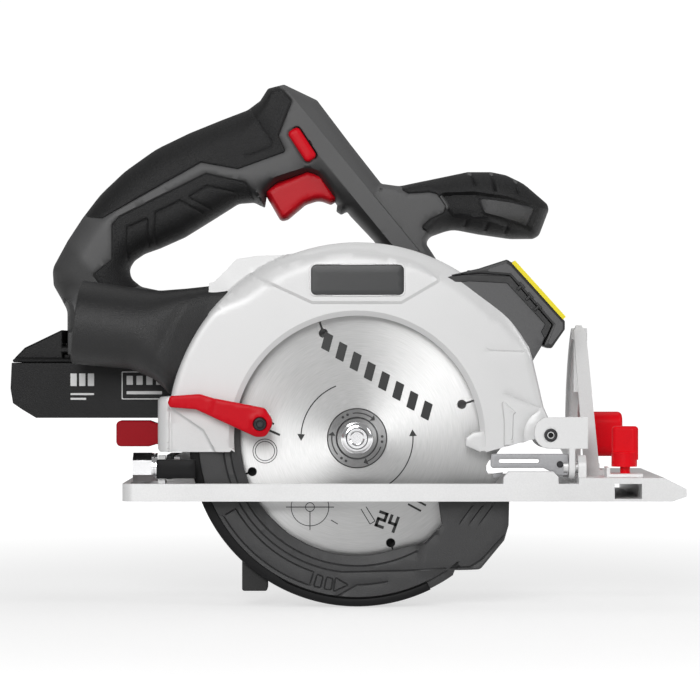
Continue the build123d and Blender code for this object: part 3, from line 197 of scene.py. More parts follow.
def level_face(y):
    """A face at one Y everywhere."""
    return lambda points, depth: np.full(len(points), float(y))


def raised_face(y, rise, radius):
    """A face at one Y at its edge that rises round to y + rise."""
    return lambda points, depth: y + rise * shoulder(depth, radius)


def rolled_face(y, drop, radius):
    """A face at one Y inside that rolls round to y + drop at its edge."""
    return lambda points, depth: y + drop * (1 - shoulder(depth, radius))


# ---------------------------------------------------------------- meshes
def build(name, verts, faces, finish, body, stands_for=(), slot=None, crease=32.0, closed=False):
    """Makes one mesh piece from millimetre points, shades it smooth and hangs it on its body.

    Points that meet are merged; a closed piece also has its faces turned outward."""
    mesh = bpy.data.meshes.new(name)
    mesh.from_pydata((np.asarray(verts) * MM).tolist(), [], faces)
    tidy = bmesh.new()
    tidy.from_mesh(mesh)
    bmesh.ops.remove_doubles(tidy, verts=tidy.verts, dist=2e-6)
    bmesh.ops.dissolve_degenerate(tidy, edges=tidy.edges, dist=1e-7)
    if closed:
        bmesh.ops.recalc_face_normals(tidy, faces=tidy.faces)
    tidy.to_mesh(mesh)
    tidy.free()
    mesh.shade_smooth()
    mesh.set_sharp_from_angle(angle=radians(crease))
    piece = bpy.data.objects.new(name, mesh)
    bpy.context.scene.collection.objects.link(piece)
    mesh.materials.append(finish)
    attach(piece, body)
    if stands_for:
        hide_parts(*stands_for)
    return piece


def give_wall(piece, thickness, crease=32.0):
    """Gives an open skin a wall this many millimetres thick, inward, and marks its creases."""
    wall = piece.modifiers.new("wall", "SOLIDIFY")
    wall.thickness, wall.offset = thickness * MM, -1
    tree = bpy.context.evaluated_depsgraph_get()
    tree.update()
    mesh = bpy.data.meshes.new_from_object(piece.evaluated_get(tree))
    piece.modifiers.clear()
    piece.data = mesh
    mesh.shade_smooth()
    mesh.set_sharp_from_angle(angle=radians(crease))


def sheet(loops, step, rings=(), lines=()):
    """Triangles over the region inside the first outline and outside the others.

    The points are the outlines, copies of them set in by each ring distance, both sides of each
    feature line, and an even grid between; they are joined by Delaunay triangles."""
    step = step * FINE
    edge_step = min(step, 1.6 * FINE)
    borders = []
    for k, loop in enumerate(loops):
        loop = dense(loop, edge_step)
        borders.append(loop if (area(loop) > 0) == (k == 0) else loop[::-1])
    cloud = []
    for border in borders:
        ahead = np.roll(border, -1, 0) - np.roll(border, 1, 0)
        ahead /= np.maximum(np.linalg.norm(ahead, axis=1), 1e-9)[:, None]
        inward = np.stack([-ahead[:, 1], ahead[:, 0]], 1)
        for ring in rings:
            cloud.append(border + inward * ring)
    for line, closed_line, sides in lines:
        line = dense(line, edge_step, closed_line)
        ahead = np.gradient(line, axis=0)
        ahead /= np.maximum(np.linalg.norm(ahead, axis=1), 1e-9)[:, None]
        across = np.stack([-ahead[:, 1], ahead[:, 0]], 1)
        cloud += [line + across * side for side in sides]
    rim = np.vstack(borders)

    def kept(points, least):
        good = inside(points, borders[0])
        for hole in borders[1:]:
            good &= ~inside(points, hole)
        points = points[good]
        return points[depth_from(points, borders) > least] if len(points) else points

    finest = min(list(rings) + [edge_step]) * 0.7
    cloud = kept(np.vstack(cloud), finest) if cloud else np.zeros((0, 2))
    low, high = rim.min(0), rim.max(0)
    xs, zs = np.meshgrid(np.arange(low[0], high[0], step), np.arange(low[1], high[1], step * 0.87), indexing="ij")
    xs = xs + np.where(np.arange(xs.shape[1]) % 2, step / 2, 0)[None]
    grid = kept(np.stack([xs.ravel(), zs.ravel()], 1), max(list(rings) + [0]) + 0.4 * step)

    def cell(points):
        index = np.floor(points / (0.8 * step)).astype(np.int64)
        return index[:, 0] * 100003 + index[:, 1]

    grid = grid[~np.isin(cell(grid), cell(cloud))]
    small = np.floor(cloud / (0.16 * FINE)).astype(np.int64)
    cloud = cloud[np.unique(small, axis=0, return_index=True)[1]]
    points = np.vstack([rim, cloud, grid])
    sides, start = [], 0
    for border in borders:
        n = len(border)
        sides += [(start + i, start + (i + 1) % n) for i in range(n)]
        start += n
    out, _, faces, _, _, _ = delaunay_2d_cdt([Vector(p) for p in points], sides, [], 0, 1e-5)
    out = np.array([(v[0], v[1]) for v in out])
    faces = np.array(faces)
    middle = out[faces].mean(1)
    good = inside(middle, borders[0])
    for hole in borders[1:]:
        good &= ~inside(middle, hole)
    faces = faces[good]
    a, b, c = out[faces[:, 0]], out[faces[:, 1]], out[faces[:, 2]]
    back = (b[:, 0] - a[:, 0]) * (c[:, 1] - a[:, 1]) - (b[:, 1] - a[:, 1]) * (c[:, 0] - a[:, 0]) < 0
    faces[back] = faces[back][:, ::-1]
    return out, faces, borders


def depth_from(points, loops):
    """Distance from the nearest of several outlines."""
    return np.min([reach(points, loop) for loop in loops], axis=0)


def relief(loops, near, far, step=3.0, rings=(), lines=(), back=True):
    """A body between two faces over one outline: near(points, depth) and far(points, depth) give Y.

    depth is the distance from the outline. Straight walls join the two faces at the border;
    without a back it stays an open skin."""
    flat, faces, borders = sheet(loops, step, rings, lines)
    depth = depth_from(flat, borders)
    depth[depth < 1e-6] = 0.0
    near_y = near(flat, depth)
    verts = [np.stack([flat[:, 0], near_y, flat[:, 1]], 1)]
    quads = [faces]
    count = len(flat)
    if back:
        far_y = far(flat, depth)
        verts.append(np.stack([flat[:, 0], far_y, flat[:, 1]], 1))
        quads.append(faces[:, ::-1] + count)
        count *= 2
    all_faces = [f for part in quads for f in part.tolist()]
    for border in borders:
        zero = np.zeros(len(border))
        top, bottom = near(border, zero), far(border, zero)
        if np.max(np.abs(top - bottom)) < 1e-4:
            continue
        n = len(border)
        verts.append(np.stack([border[:, 0], top, border[:, 1]], 1))
        verts.append(np.stack([border[:, 0], bottom, border[:, 1]], 1))
        i = np.arange(n)
        j = (i + 1) % n
        all_faces += np.stack([count + i, count + n + i, count + n + j, count + j], 1).tolist()
        count += 2 * n
    return np.vstack(verts), all_faces


def mirrored(shape, about_y):
    """The same body reflected to the other side of a Y plane, with its faces turned back out."""
    verts, faces = shape
    verts = verts.copy()
    verts[:, 1] = 2 * about_y - verts[:, 1]
    return verts, [f[::-1] for f in faces]


def joined(*shapes):
    """Several bodies as one list of points and faces."""
    verts, faces, start = [], [], 0
    for v, f in shapes:
        verts.append(v)
        faces += [[i + start for i in face] for face in f]
        start += len(v)
    return np.vstack(verts), faces


def grid_faces(rows, columns, wrap_columns=False):
    """Quads over a grid of points, row by row; wrapped columns close on themselves."""
    r = np.arange(rows - 1)
    c = np.arange(columns if wrap_columns else columns - 1)
    a, b = np.meshgrid(r, c, indexing="ij")
    a2, b2 = a + 1, (b + 1) % columns
    quads = np.stack([a * columns + b, a * columns + b2, a2 * columns + b2, a2 * columns + b], -1)
    return quads.reshape(-1, 4).tolist()


def edge_wall(edge, starts, end, shares):
    """A wall along an open edge line, from its own Y values to one end Y, with rows at these shares of the way."""
    rows = np.stack([starts + (end - starts) * share for share in shares])
    verts = np.stack([np.broadcast_to(edge[:, 0], rows.shape), rows, np.broadcast_to(edge[:, 1], rows.shape)], -1)
    return verts.reshape(-1, 3), grid_faces(len(rows), len(edge))


def lathe(profile, centre, count=72):
    """A profile of (radius, Y) points carried round a Y axis through a centre (X, Z).

    A first or last point at radius 0 becomes a pole once the points that meet are merged."""
    profile = np.asarray(profile, float)
    angles = np.linspace(0, 360, count, endpoint=False)
    ring = turn(angles, 1.0)
    verts = np.stack([centre[0] + profile[:, None, 0] * ring[None, :, 0],
                      np.broadcast_to(profile[:, None, 1], (len(profile), count)),
                      centre[1] + profile[:, None, 0] * ring[None, :, 1]], -1).reshape(-1, 3)
    return verts, grid_faces(len(profile), count, wrap_columns=True)


def softened(node, finish, width):
    """A copy of a CAD piece with its flat faces joined up and its sharp edges rounded by a bevel."""
    source = frame["nodes"][node]
    mesh = source.data.copy()
    tidy = bmesh.new()
    tidy.from_mesh(mesh)
    bmesh.ops.remove_doubles(tidy, verts=tidy.verts, dist=1e-6)
    bmesh.ops.dissolve_limit(tidy, angle_limit=radians(0.3), verts=tidy.verts, edges=tidy.edges)
    tidy.to_mesh(mesh)
    tidy.free()
    for attribute in [a.name for a in mesh.attributes if "custom_normal" in a.name]:
        mesh.attributes.remove(mesh.attributes[attribute])
    mesh.materials.clear()
    mesh.materials.append(finish)
    mesh.shade_smooth()
    mesh.set_sharp_from_angle(angle=radians(28))
    piece = bpy.data.objects.new(node + "_shape", mesh)
    bpy.context.scene.collection.objects.link(piece)
    bevel = piece.modifiers.new("soft_edges", "BEVEL")
    bevel.width = width * MM
    bevel.segments = 2
    bevel.limit_method = "ANGLE"
    bevel.angle_limit = radians(35)
    bevel.use_clamp_overlap = True
    bevel.harden_normals = False
    weight = piece.modifiers.new("face_weight", "WEIGHTED_NORMAL")
    weight.keep_sharp = True
    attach(piece, source["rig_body"])
    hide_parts(node)


# ---------------------------------------------------------------- finishes
def add_node(mat, kind, settings=None, values=None, feeds=None):
    """A shader node with its settings, its fixed input values and the outputs that feed its other inputs."""
    made = mat.node_tree.nodes.new("ShaderNode" + kind)
    for key, value in (settings or {}).items():
        setattr(made, key, value)
    for key, value in (values or {}).items():
        made.inputs[key].default_value = value
    for key, output in (feeds or {}).items():
        mat.node_tree.links.new(output, made.inputs[key])
    return made


def material(name, colour, rough, metal=0.0, grain=900.0, bump=0.04, mottle=0.12, patch=18.0, shade=0.0, gloss=0.5):
    """A finish: base colour varied by broad patches and fine grain, roughness varied by the patches,
    and a fine bump. Scales are per metre on the object's own coordinates. shade paints shade into
    the base colour by each face's own normal: faces turned to the near side or up keep their full
    colour, faces turned forward lose part of it, and faces turned down, back or to the far side are
    darkened to 1 - shade of it."""
    mat = bpy.data.materials.new(name)
    mat.use_nodes = True
    link = mat.node_tree.links.new
    shader = mat.node_tree.nodes["Principled BSDF"]
    place = add_node(mat, "TexCoord")
    broad, fine = (add_node(mat, "TexNoise", None, {"Scale": scale, "Detail": detail},
                            {"Vector": place.outputs["Object"]}) for scale, detail in ((patch, 4), (grain, 3)))
    both = add_node(mat, "Math", {"operation": "ADD"}, None, {0: broad.outputs["Fac"], 1: fine.outputs["Fac"]})
    ramp = add_node(mat, "MapRange", None, {"From Min": 0.6, "From Max": 1.4}, {"Value": both.outputs[0]})
    dark = [max(0.0, c * (1 - mottle)) for c in colour]
    light = [min(1.0, c * (1 + mottle)) for c in colour]
    tint = add_node(mat, "Mix", {"data_type": "RGBA"}, {"A": (*dark, 1), "B": (*light, 1)},
                    {"Factor": ramp.outputs["Result"]})
    link(tint.outputs["Result"], shader.inputs["Base Color"])
    # Painted shade: the base colour is scaled down the further each face turns away from the near side and up.
    if shade:
        facing = add_node(mat, "VectorMath", {"operation": "DOT_PRODUCT"}, {1: (0.30, -0.62, 0.72)},
                          {0: place.outputs["Normal"]})
        painted_shade = add_node(mat, "MapRange", None, {"From Min": 0.05, "From Max": 0.62, "To Min": 1 - shade, "To Max": 1.0},
                        {"Value": facing.outputs["Value"]})
        scale = add_node(mat, "VectorMath", {"operation": "SCALE"}, None,
                         {0: tint.outputs["Result"], "Scale": painted_shade.outputs["Result"]})
        link(scale.outputs["Vector"], shader.inputs["Base Color"])
    polish = add_node(mat, "MapRange", None, {"From Min": 0.3, "From Max": 0.7, "To Min": max(0.02, rough - 0.08),
                                              "To Max": min(1.0, rough + 0.08)}, {"Value": broad.outputs["Fac"]})
    link(polish.outputs["Result"], shader.inputs["Roughness"])
    grit = add_node(mat, "Bump", None, {"Strength": bump, "Distance": 0.0006}, {"Height": fine.outputs["Fac"]})
    link(grit.outputs["Normal"], shader.inputs["Normal"])
    shader.inputs["Metallic"].default_value = metal
    shader.inputs["Specular IOR Level"].default_value = gloss
    return mat


def brushed(name, colour, rough, centre):
    """Steel brushed in rings: noise stretched round an axis, so it varies fast with radius and slowly with angle."""
    mat = material(name, colour, rough, metal=1.0, grain=1500, bump=0.03, mottle=0.05, patch=30)
    link = mat.node_tree.links.new
    shader = mat.node_tree.nodes["Principled BSDF"]
    place = add_node(mat, "TexCoord")
    shift = add_node(mat, "Mapping", None, {"Location": (-centre[0] * MM, 0, -centre[1] * MM)},
                     {"Vector": place.outputs["Object"]})
    split = add_node(mat, "SeparateXYZ", None, None, {"Vector": shift.outputs["Vector"]})
    angle = add_node(mat, "Math", {"operation": "ARCTAN2"}, None, {0: split.outputs["Z"], 1: split.outputs["X"]})
    level = add_node(mat, "CombineXYZ", None, None, {"X": split.outputs["X"], "Z": split.outputs["Z"]})
    radius = add_node(mat, "VectorMath", {"operation": "LENGTH"}, None, {"Vector": level.outputs["Vector"]})
    across = add_node(mat, "Math", {"operation": "MULTIPLY"}, {1: 2600.0}, {0: radius.outputs["Value"]})
    around = add_node(mat, "Math", {"operation": "MULTIPLY"}, {1: 5.0}, {0: angle.outputs[0]})
    ring = add_node(mat, "CombineXYZ", None, None, {"X": across.outputs[0], "Y": around.outputs[0]})
    streaks = add_node(mat, "TexNoise", None, {"Scale": 1.0, "Detail": 3}, {"Vector": ring.outputs["Vector"]})
    streak = streaks.outputs["Fac"]
    polish = add_node(mat, "MapRange", None, {"To Min": rough - 0.1, "To Max": rough + 0.16}, {"Value": streak})
    tone = add_node(mat, "Mix", {"data_type": "RGBA"},
                    {"A": (*[c * 0.78 for c in colour], 1), "B": (*[min(1, c * 1.18) for c in colour], 1)},
                    {"Factor": streak})
    cut = add_node(mat, "Bump", None, {"Strength": 0.12, "Distance": 0.0002}, {"Height": streak})
    grainline = add_node(mat, "Tangent", {"direction_type": "RADIAL", "axis": "Y"})
    for output, socket in ((polish.outputs["Result"], "Roughness"), (tone.outputs["Result"], "Base Color"),
                           (cut.outputs["Normal"], "Normal"), (grainline.outputs["Tangent"], "Tangent")):
        link(output, shader.inputs[socket])
    shader.inputs["Anisotropic"].default_value = 0.75
    return mat


SILVER_PAINT = material("silver_paint", (0.72, 0.72, 0.72), 0.42, metal=0.15, grain=2600, bump=0.03, mottle=0.04)
CAST_LIGHT = material("cast_light", (0.80, 0.80, 0.80), 0.42, metal=0.25, grain=1400, bump=0.08, mottle=0.05)
# Painted shade: the bevel quadrant is the same light-grey cast paint as the base, drawn in this darker copy of it for
# the shade on its faces.
QUADRANT_CAST_PAINTED_SHADE = material("quadrant_cast_painted_shade", (0.68, 0.68, 0.68), 0.42, metal=0.2, grain=1400, bump=0.08, mottle=0.05)
BRACKET_WHITE = material("bracket_white", (0.90, 0.90, 0.90), 0.35, grain=1400, bump=0.03, mottle=0.03)
# The handle grey carries painted shade (shade=0.75): faces turned down, back or to the far side are drawn darker, down
# to a quarter of the colour.
HANDLE_GREY = material("handle_grey", (0.092, 0.092, 0.093), 0.5, grain=2200, bump=0.16, mottle=0.10, shade=0.75,
                       gloss=0.35)
GRIP_BLACK = material("grip_black", (0.010, 0.010, 0.0105), 0.52, grain=1700, bump=0.8, mottle=0.4, gloss=0.32)
PORT_BLACK = material("port_black", (0.012, 0.012, 0.0125), 0.42, grain=1900, bump=0.4, mottle=0.25, gloss=0.4)
CHARCOAL = material("charcoal_plastic", (0.040, 0.040, 0.041), 0.45, grain=1900, bump=0.25, mottle=0.15, gloss=0.4)
RIM_BLACK = material("rim_black", (0.007, 0.007, 0.0075), 0.5, grain=1300, bump=0.12, mottle=0.12, gloss=0.15)
BATTERY_BLACK = material("battery_black", (0.010, 0.010, 0.0105), 0.45, grain=1900, bump=0.25, mottle=0.15, gloss=0.2)
LASER_GREY = material("laser_grey", (0.085, 0.085, 0.087), 0.5, grain=1300, bump=0.12, mottle=0.1)
LASER_BLACK = material("laser_black", (0.009, 0.009, 0.0095), 0.45, grain=1300, bump=0.1, mottle=0.1)
RED = material("red_plastic", (0.66, 0.002, 0.012), 0.36, grain=1300, bump=0.05, mottle=0.05, gloss=0.12)
TRIGGER_RED = material("trigger_red", (0.56, 0.004, 0.012), 0.4, grain=1900, bump=0.12, mottle=0.08, gloss=0.2)
KNOB_RED = material("knob_red", (0.82, 0.002, 0.010), 0.3, grain=1300, bump=0.05, mottle=0.06, gloss=0.15)
DARK_RED = material("dark_red_plastic", (0.40, 0.002, 0.010), 0.38, grain=1300, bump=0.06, mottle=0.08, gloss=0.12)
YELLOW = material("yellow_strip", (0.95, 0.80, 0.0), 0.4, grain=900, bump=0.02, mottle=0.04)
BADGE = material("badge_grey", (0.022, 0.023, 0.024), 0.35, grain=1300, bump=0.03, mottle=0.05)
PRINT = material("black_print", (0.012, 0.012, 0.012), 0.5, grain=1300, bump=0.02, mottle=0.05)
PALE_PRINT = material("pale_print", (0.82, 0.82, 0.82), 0.5, grain=1300, bump=0.02, mottle=0.03)
STEEL = material("steel", (0.60, 0.60, 0.60), 0.3, metal=1.0, grain=1700, bump=0.05, mottle=0.08)
CHROME = material("chrome", (0.80, 0.80, 0.81), 0.14, metal=1.0, grain=1700, bump=0.01, mottle=0.04)
BLACK_STEEL = material("black_steel", (0.03, 0.03, 0.032), 0.4, metal=0.6, grain=1700, bump=0.05, mottle=0.2)
CAST_GREY = material("cast_grey", (0.36, 0.36, 0.37), 0.5, metal=0.6, grain=900, bump=0.15, mottle=0.08)
BLACK_PLASTIC = material("black_plastic", (0.025, 0.025, 0.026), 0.5, grain=1300, bump=0.1, mottle=0.15)
RUBBER = material("black_rubber", (0.02, 0.02, 0.02), 0.75, grain=1000, bump=0.25, mottle=0.25)
BOARD_GREEN = material("board_green", (0.02, 0.16, 0.06), 0.4, grain=700, bump=0.05, mottle=0.3)
BRASS = material("brass", (0.75, 0.55, 0.22), 0.3, metal=1.0, mottle=0.08)
CARBIDE = material("carbide", (0.42, 0.42, 0.43), 0.3, metal=1.0, mottle=0.08)
COPPER = material("copper_wound", (0.72, 0.32, 0.16), 0.38, metal=1.0, grain=600, bump=0.3, mottle=0.15)
CELL_WRAP = material("cell_wrap", (0.05, 0.2, 0.5), 0.35, mottle=0.06)
MAGNET = material("magnet", (0.09, 0.09, 0.10), 0.5, metal=0.4, mottle=0.15)
BLADE_STEEL = brushed("blade_steel", (0.47, 0.47, 0.468), 0.34, AXLE)
FLANGE_STEEL = brushed("flange_steel", (0.21, 0.21, 0.21), 0.30, AXLE)

SLOT_FINISH = {"cast_light": CAST_LIGHT, "silver_paint": SILVER_PAINT, "bracket_white": BRACKET_WHITE,
               "steel": STEEL, "chrome": CHROME, "black_steel": BLACK_STEEL, "charcoal_plastic": CHARCOAL,
               "grey_plastic": HANDLE_GREY, "black_plastic": BLACK_PLASTIC, "black_rubber": RUBBER,
               "red_plastic": RED, "dark_red_plastic": DARK_RED, "badge_grey": BADGE, "cast_grey": CAST_GREY,
               "board_green": BOARD_GREEN, "brass": BRASS, "carbide": CARBIDE, "copper_wound": COPPER,
               "cell_wrap": CELL_WRAP, "magnet": MAGNET}


def dress_cad_nodes():
    """Gives every CAD piece the finish of its material slot."""
    slots = {part["node"]: part["material_slot"] for part in frame["record"]["subparts"]}
    for name, node in frame["nodes"].items():
        finish = SLOT_FINISH.get(slots.get(name), BLACK_PLASTIC)
        if not node.material_slots:
            node.data.materials.append(finish)
        for place in node.material_slots:
            place.material = finish
    for name, finish in (("blade", BLADE_STEEL), ("outer_flange", FLANGE_STEEL), ("trigger", TRIGGER_RED)):
        for place in frame["nodes"][name].material_slots:
            place.material = finish


# ---------------------------------------------------------------- handle casing
def body_outline():
    """Outline of the main handle, slanted beam, front handle and motor body, without the hand loop."""
    return rounded([(-150, 77), (-150, 95), (-157.4, 108), (-158, 116.7), (-150, 131.2), (-142.4, 142.8),
                    (-133.1, 155), (-120.4, 167.1), (-104.1, 178.7), (-86.7, 187.1), (-69.4, 194.1),
                    (-56.6, 199), (-50.2, 203.7), (-46.1, 210), (-37.5, 212.1), (-20.6, 204.2), (-3.5, 181.6),
                    (12.8, 160.8), (22, 159.5), (57.5, 166.9), (69.7, 166.9), (77.5, 165.3), (86.6, 160.9),
                    (98.9, 150.3), (99.8, 147.4), (94.6, 133.8), (91.5, 132.1), (79.6, 132), (63.1, 134.4),
                    (49.2, 137.1), (37.9, 133.1), (35.9, 129.8), (41.2, 121.8), (44, 100), (34, 74),
                    (27, 55), (20, 36), (-20, 36), (-27, 55), (-40, 72), (-58, 77)],
                   [2, 8, 4, 10, 30, 30, 40, 40, 40, 50, 40, 8, 3, 2, 2, 3, 20, 2.5, 8, 3, 6, 8, 20,
                    4, 4, 4, 4, 20, 30, 15, 5, 4, 3, 4, 8, 20, 18, 18, 20, 8, 5])


def loop_outline():
    """Outline of the hand loop, with the notch that the trigger sits in."""
    return rounded([(-111.8, 107.3), (-117.0, 111.5), (-118, 116.5), (-115.2, 120.8), (-110, 124.3),
                    (-101.8, 127.2), (-89, 132.9), (-74, 142.2), (-61.2, 150.3), (-53.1, 150.9), (-47.6, 148.2),
                    (-46.6, 154.8), (-41.5, 160.3),
                    (-25.3, 165.6), (-20.5, 163.6), (-10.2, 149.6), (-10.6, 146.3), (-8.1, 144.6), (-5.0, 146.2),
                    (-3.5, 144.1), (8.7, 131.2), (18, 119), (8, 113), (-55, 110), (-72, 104.5), (-100, 104.8)],
                   [6, 6, 8, 6, 8, 12, 20, 20, 6, 5, 0.6, 4, 6, 4, 5, 1, 1.2, 1.2, 1, 2, 20, 5, 5, 10, 10, 10])


RIDGE_TOP = np.array([-37.2, 209.6])
RIDGE_ALONG = np.array([0.634, -0.773])
RIDGE_ACROSS = np.array([0.773, 0.634])
BAND = 8.6


def handle_bulk(points, depth):
    """Half thickness of the casing: a round handle, a faceted beam and a round front handle.

    It is the full half width times a quarter round whose radius changes along X, less two facets that
    fall away from the beam's flat band on both sides."""
    x, z = points[:, 0], points[:, 1]
    radius = 14.5 - 10.5 * ease(x + 62, 22) + 8.5 * ease(x - 34, 14)
    radius = np.where(z < 100, np.minimum(radius, 6.0), radius)
    across = (points - RIDGE_TOP) @ RIDGE_ACROSS
    beam = ease(z - 100, 20) * ease(x + 60, 14)
    web = ease(x - 7 - 5 * ease(z - 154, 6), 3)
    outer = np.maximum(across, 0) * 0.85 * (1 - web) + web * 1.7 * ease(across, 0.7)
    low = np.clip((200 - z) / 60, 0, 1)
    inner = np.maximum(-across - BAND, 0) * (0.04 + 0.95 * low ** 1.5) * ease(x + 34, 14)
    drop = beam * (outer + np.minimum(inner, 10.0))
    heel = 0.34 * np.maximum((-148.4 - x) * 0.71 + (127.6 - z) * 0.704, 0) * ease(z - 96, 10)
    return np.maximum((HANDLE_HALF - drop - np.minimum(heel, 8)) * shoulder(depth, radius), 0)


def beam_lines():
    """Feature lines of the beam's two ridges."""
    first = [RIDGE_TOP, RIDGE_TOP + RIDGE_ALONG * 110]
    second = [p - RIDGE_ACROSS * BAND for p in first]
    return [(np.array(first), False, (-0.5, 0, 0.5)), (np.array(second), False, (-0.5, 0, 0.5))]


LOCK_OFF_SLOT = rounded([(-37.2, 186.2), (-30.0, 190.6), (-19.0, 173.8), (-26.0, 169.0)], 2.8)


def lock_off_place(points):
    """Depth inside the lock-off button's slot."""
    return depth_in(points, LOCK_OFF_SLOT)


def casing_half():
    """Near half of the casing as an open skin with the lock-off slot sunk in it."""
    loops = [body_outline(), loop_outline()]

    covers = [upper_cover(), lower_cover(), front_cover()]

    def near(points, depth):
        bulk = handle_bulk(points, depth)
        sunk = 2.4 * ease(lock_off_place(points), 0.8)
        for outline, border in covers:
            sunk += 5.4 * ease(depth_in(points, outline) - 1.0, 2.2) * ease(depth - 2.0, 3.0)
            sunk += 0.6 * groove(points, border, 0.55) * ease(depth - 1.0, 2.0)
        return HANDLE_Y - np.maximum(bulk - sunk, np.minimum(bulk, 2.0))

    lines = beam_lines() + [(LOCK_OFF_SLOT, True, (-0.1, 0.4, 0.9))]
    lines += [(border, False, (-0.6, 0, 0.6, 1.4, 2.6)) for _, border in covers]
    return relief(loops, near, level_face(HANDLE_Y), step=2.6, rings=(0.25, 0.8, 1.8, 3.2, 5.2),
                  lines=lines, back=False)


def dock_half(side):
    """Half of the battery dock: a wall and lip carried along X, as a closed profile in Y and Z."""
    middle = 60.0
    wall = middle + side * 34.0
    inner = wall - side * 2.8
    profile = rounded([(middle, 77), (middle, 85), (wall, 85), (wall, 71.8), (wall - side * 5.4, 71.8),
                       (wall - side * 5.4, 73.6), (inner, 73.6), (inner, 77)], [0, 0, 2.5, 0.8, 0.5, 0.3, 0.8, 1.2])
    xs = np.array([-147.0, -146.2, -62.8, -62.0])
    shrink = np.array([0.8, 0.0, 0.0, 0.8])
    centre = profile.mean(0)
    rows = [np.column_stack([np.full(len(profile), x), centre + (profile - centre) * (1 - s / 20)])
            for x, s in zip(xs, shrink)]
    verts = np.vstack(rows)
    faces = grid_faces(len(xs), len(profile), wrap_columns=True)
    n = len(profile)
    faces += [list(range(n))[::-1], [3 * n + i for i in range(n)]]
    if side > 0:
        faces = [f[::-1] for f in faces]
    return verts, faces


def motor_cup():
    """Motor cup on the far side: a lathed shell with a rounded rim and raised cooling ribs in its end."""
    wall = [(26.6, 74.0), (27.0, 76.0), (27.0, 90), (26.4, 90.6), (26.4, 92), (27.0, 92.6), (27.0, 124.2),
            (26.2, 126.8), (24.2, 128.0), (21.5, 128.0), (20.8, 126.8), (7.5, 126.4), (6.8, 127.6), (5.6, 128.0),
            (0, 128.0)]
    shapes = [lathe(wall, MOTOR)]
    for k in range(12):
        middle = 30.0 * k
        bar = rounded([(8.5, -1.3), (20.0, -2.1), (20.0, 2.1), (8.5, 1.3)], 0.9)
        spin = np.array([[cos(radians(middle)), sin(radians(middle))], [-sin(radians(middle)), cos(radians(middle))]])
        shapes.append(relief([bar @ spin + MOTOR], level_face(126.0),
                             raised_face(126.0, 2.0, 0.8), step=3.0, rings=(0.25, 0.8)))
    return joined(*shapes)


def make_casing():
    """The two halves of the casing; the far half also carries the motor cup."""
    half = casing_half()
    for name, shape in (("housing_right", half), ("housing_left", mirrored(half, HANDLE_Y))):
        give_wall(build(name + "_shell", *shape, HANDLE_GREY, "saw_head", (name,), "grey_plastic"), 2.6)
    for side, body in ((-1, "right"), (1, "left")):
        build("battery_dock_" + body, *dock_half(side), BLACK_PLASTIC, "saw_head", slot="black_plastic")
    build("motor_cup", *motor_cup(), HANDLE_GREY, "saw_head", slot="grey_plastic")


# ---------------------------------------------------------------- soft grips
def grip(name, region, extras, texture_lines, node, proud=0.7, step=1.8, finish=GRIP_BLACK, slot="black_rubber"):
    """A soft cover: the casing's own surface over a region, lifted by a skin whose border is rounded down.

    extras(points) adds its panels, grooves and ridges."""
    casing = [dense(body_outline(), 1.5), dense(loop_outline(), 1.5)]

    def near(points, depth):
        del depth
        inset = np.maximum(np.where(inside(points, casing[0]), 1, -1) * depth_from(points, casing), 0)
        border = reach(points, region_border, loop=False)
        lift = proud * shoulder(border, 1.2) - 0.25
        bulk = handle_bulk(points, inset)
        fade = ease(inset, 2.0)
        return HANDLE_Y - (bulk + lift * fade + extras(points) * fade)

    outline, region_border = region
    skin = relief([outline], near, near, step=step, rings=(0.35, 1.0, 2.0, 3.4, 5.0),
                  lines=texture_lines, back=False)
    both = joined(skin, mirrored(skin, HANDLE_Y))
    give_wall(build(name, *both, finish, "saw_head", (node,) if node else (), slot), 1.2, 38)


def along(outline, start, end):
    """The stretch of a closed outline between the points nearest to start and to end, going forward."""
    outline = dense(outline, 1.2)
    i = int(np.argmin(((outline - start) ** 2).sum(1)))
    j = int(np.argmin(((outline - end) ** 2).sum(1)))
    return outline[i:j + 1] if i <= j else np.vstack([outline[i:], outline[:j + 1]])


def open_rounded(points, radius):
    """An open line with its inner corners rounded."""
    points = np.asarray(points, float)
    closed = rounded(np.vstack([points, [points.mean(0) + (900, 900)]]), np.append(np.full(len(points), radius), 0))
    start = int(np.argmin(((closed - points[0]) ** 2).sum(1)))
    end = int(np.argmin(((closed - points[-1]) ** 2).sum(1)))
    return closed[start:end + 1]


def upper_cover():
    """Region of the cover along the back and top of the main handle: its outline and its inner border."""
    top = along(body_outline()[::-1], (-41.0, 211.2), (-142.0, 143.4))
    border = open_rounded([(-142.0, 143.4), (-130.8, 142.2), (-80, 170.8), (-61.1, 167.4), (-36.4, 176.3),
                           (-40.5, 184.4), (-33.6, 202.3), (-41.0, 211.2)], 1.6)
    return np.vstack([top, border[1:-1]]), border


def make_upper_grip():
    """Upper cover: a sunk panel whose front edge folds up into the collar under the lock-off button."""
    fold = open_rounded([(-56.5, 201), (-43.3, 181.2), (-44.6, 178.7), (-61, 172.6)], 1.2)

    def extras(points):
        front = (points - (-56.5, 201)) @ np.array([0.832, 0.555])
        return -0.7 * np.minimum(groove(points, fold, 0.7), 1) + 1.6 * ease(front - 0.4, 6.0)

    grip("upper_grip_cover", upper_cover(), extras, [(fold, False, (-0.7, 0, 0.7))], "upper_grip")


def lower_cover():
    """Region of the cover on the inside of the loop: its outline and its outer border."""
    bottom = along(loop_outline(), (-113.0, 108.3), (-52.4, 150.7))
    border = open_rounded([(-52.4, 150.7), (-57.1, 160.5), (-77.7, 165.3), (-122.4, 142.8), (-125.9, 139),
                           (-125.9, 120.8), (-135.9, 113), (-131.5, 107.2), (-115.0, 106.6), (-112.2, 107.6)], 1.8)
    return np.vstack([bottom, border[1:]]), border


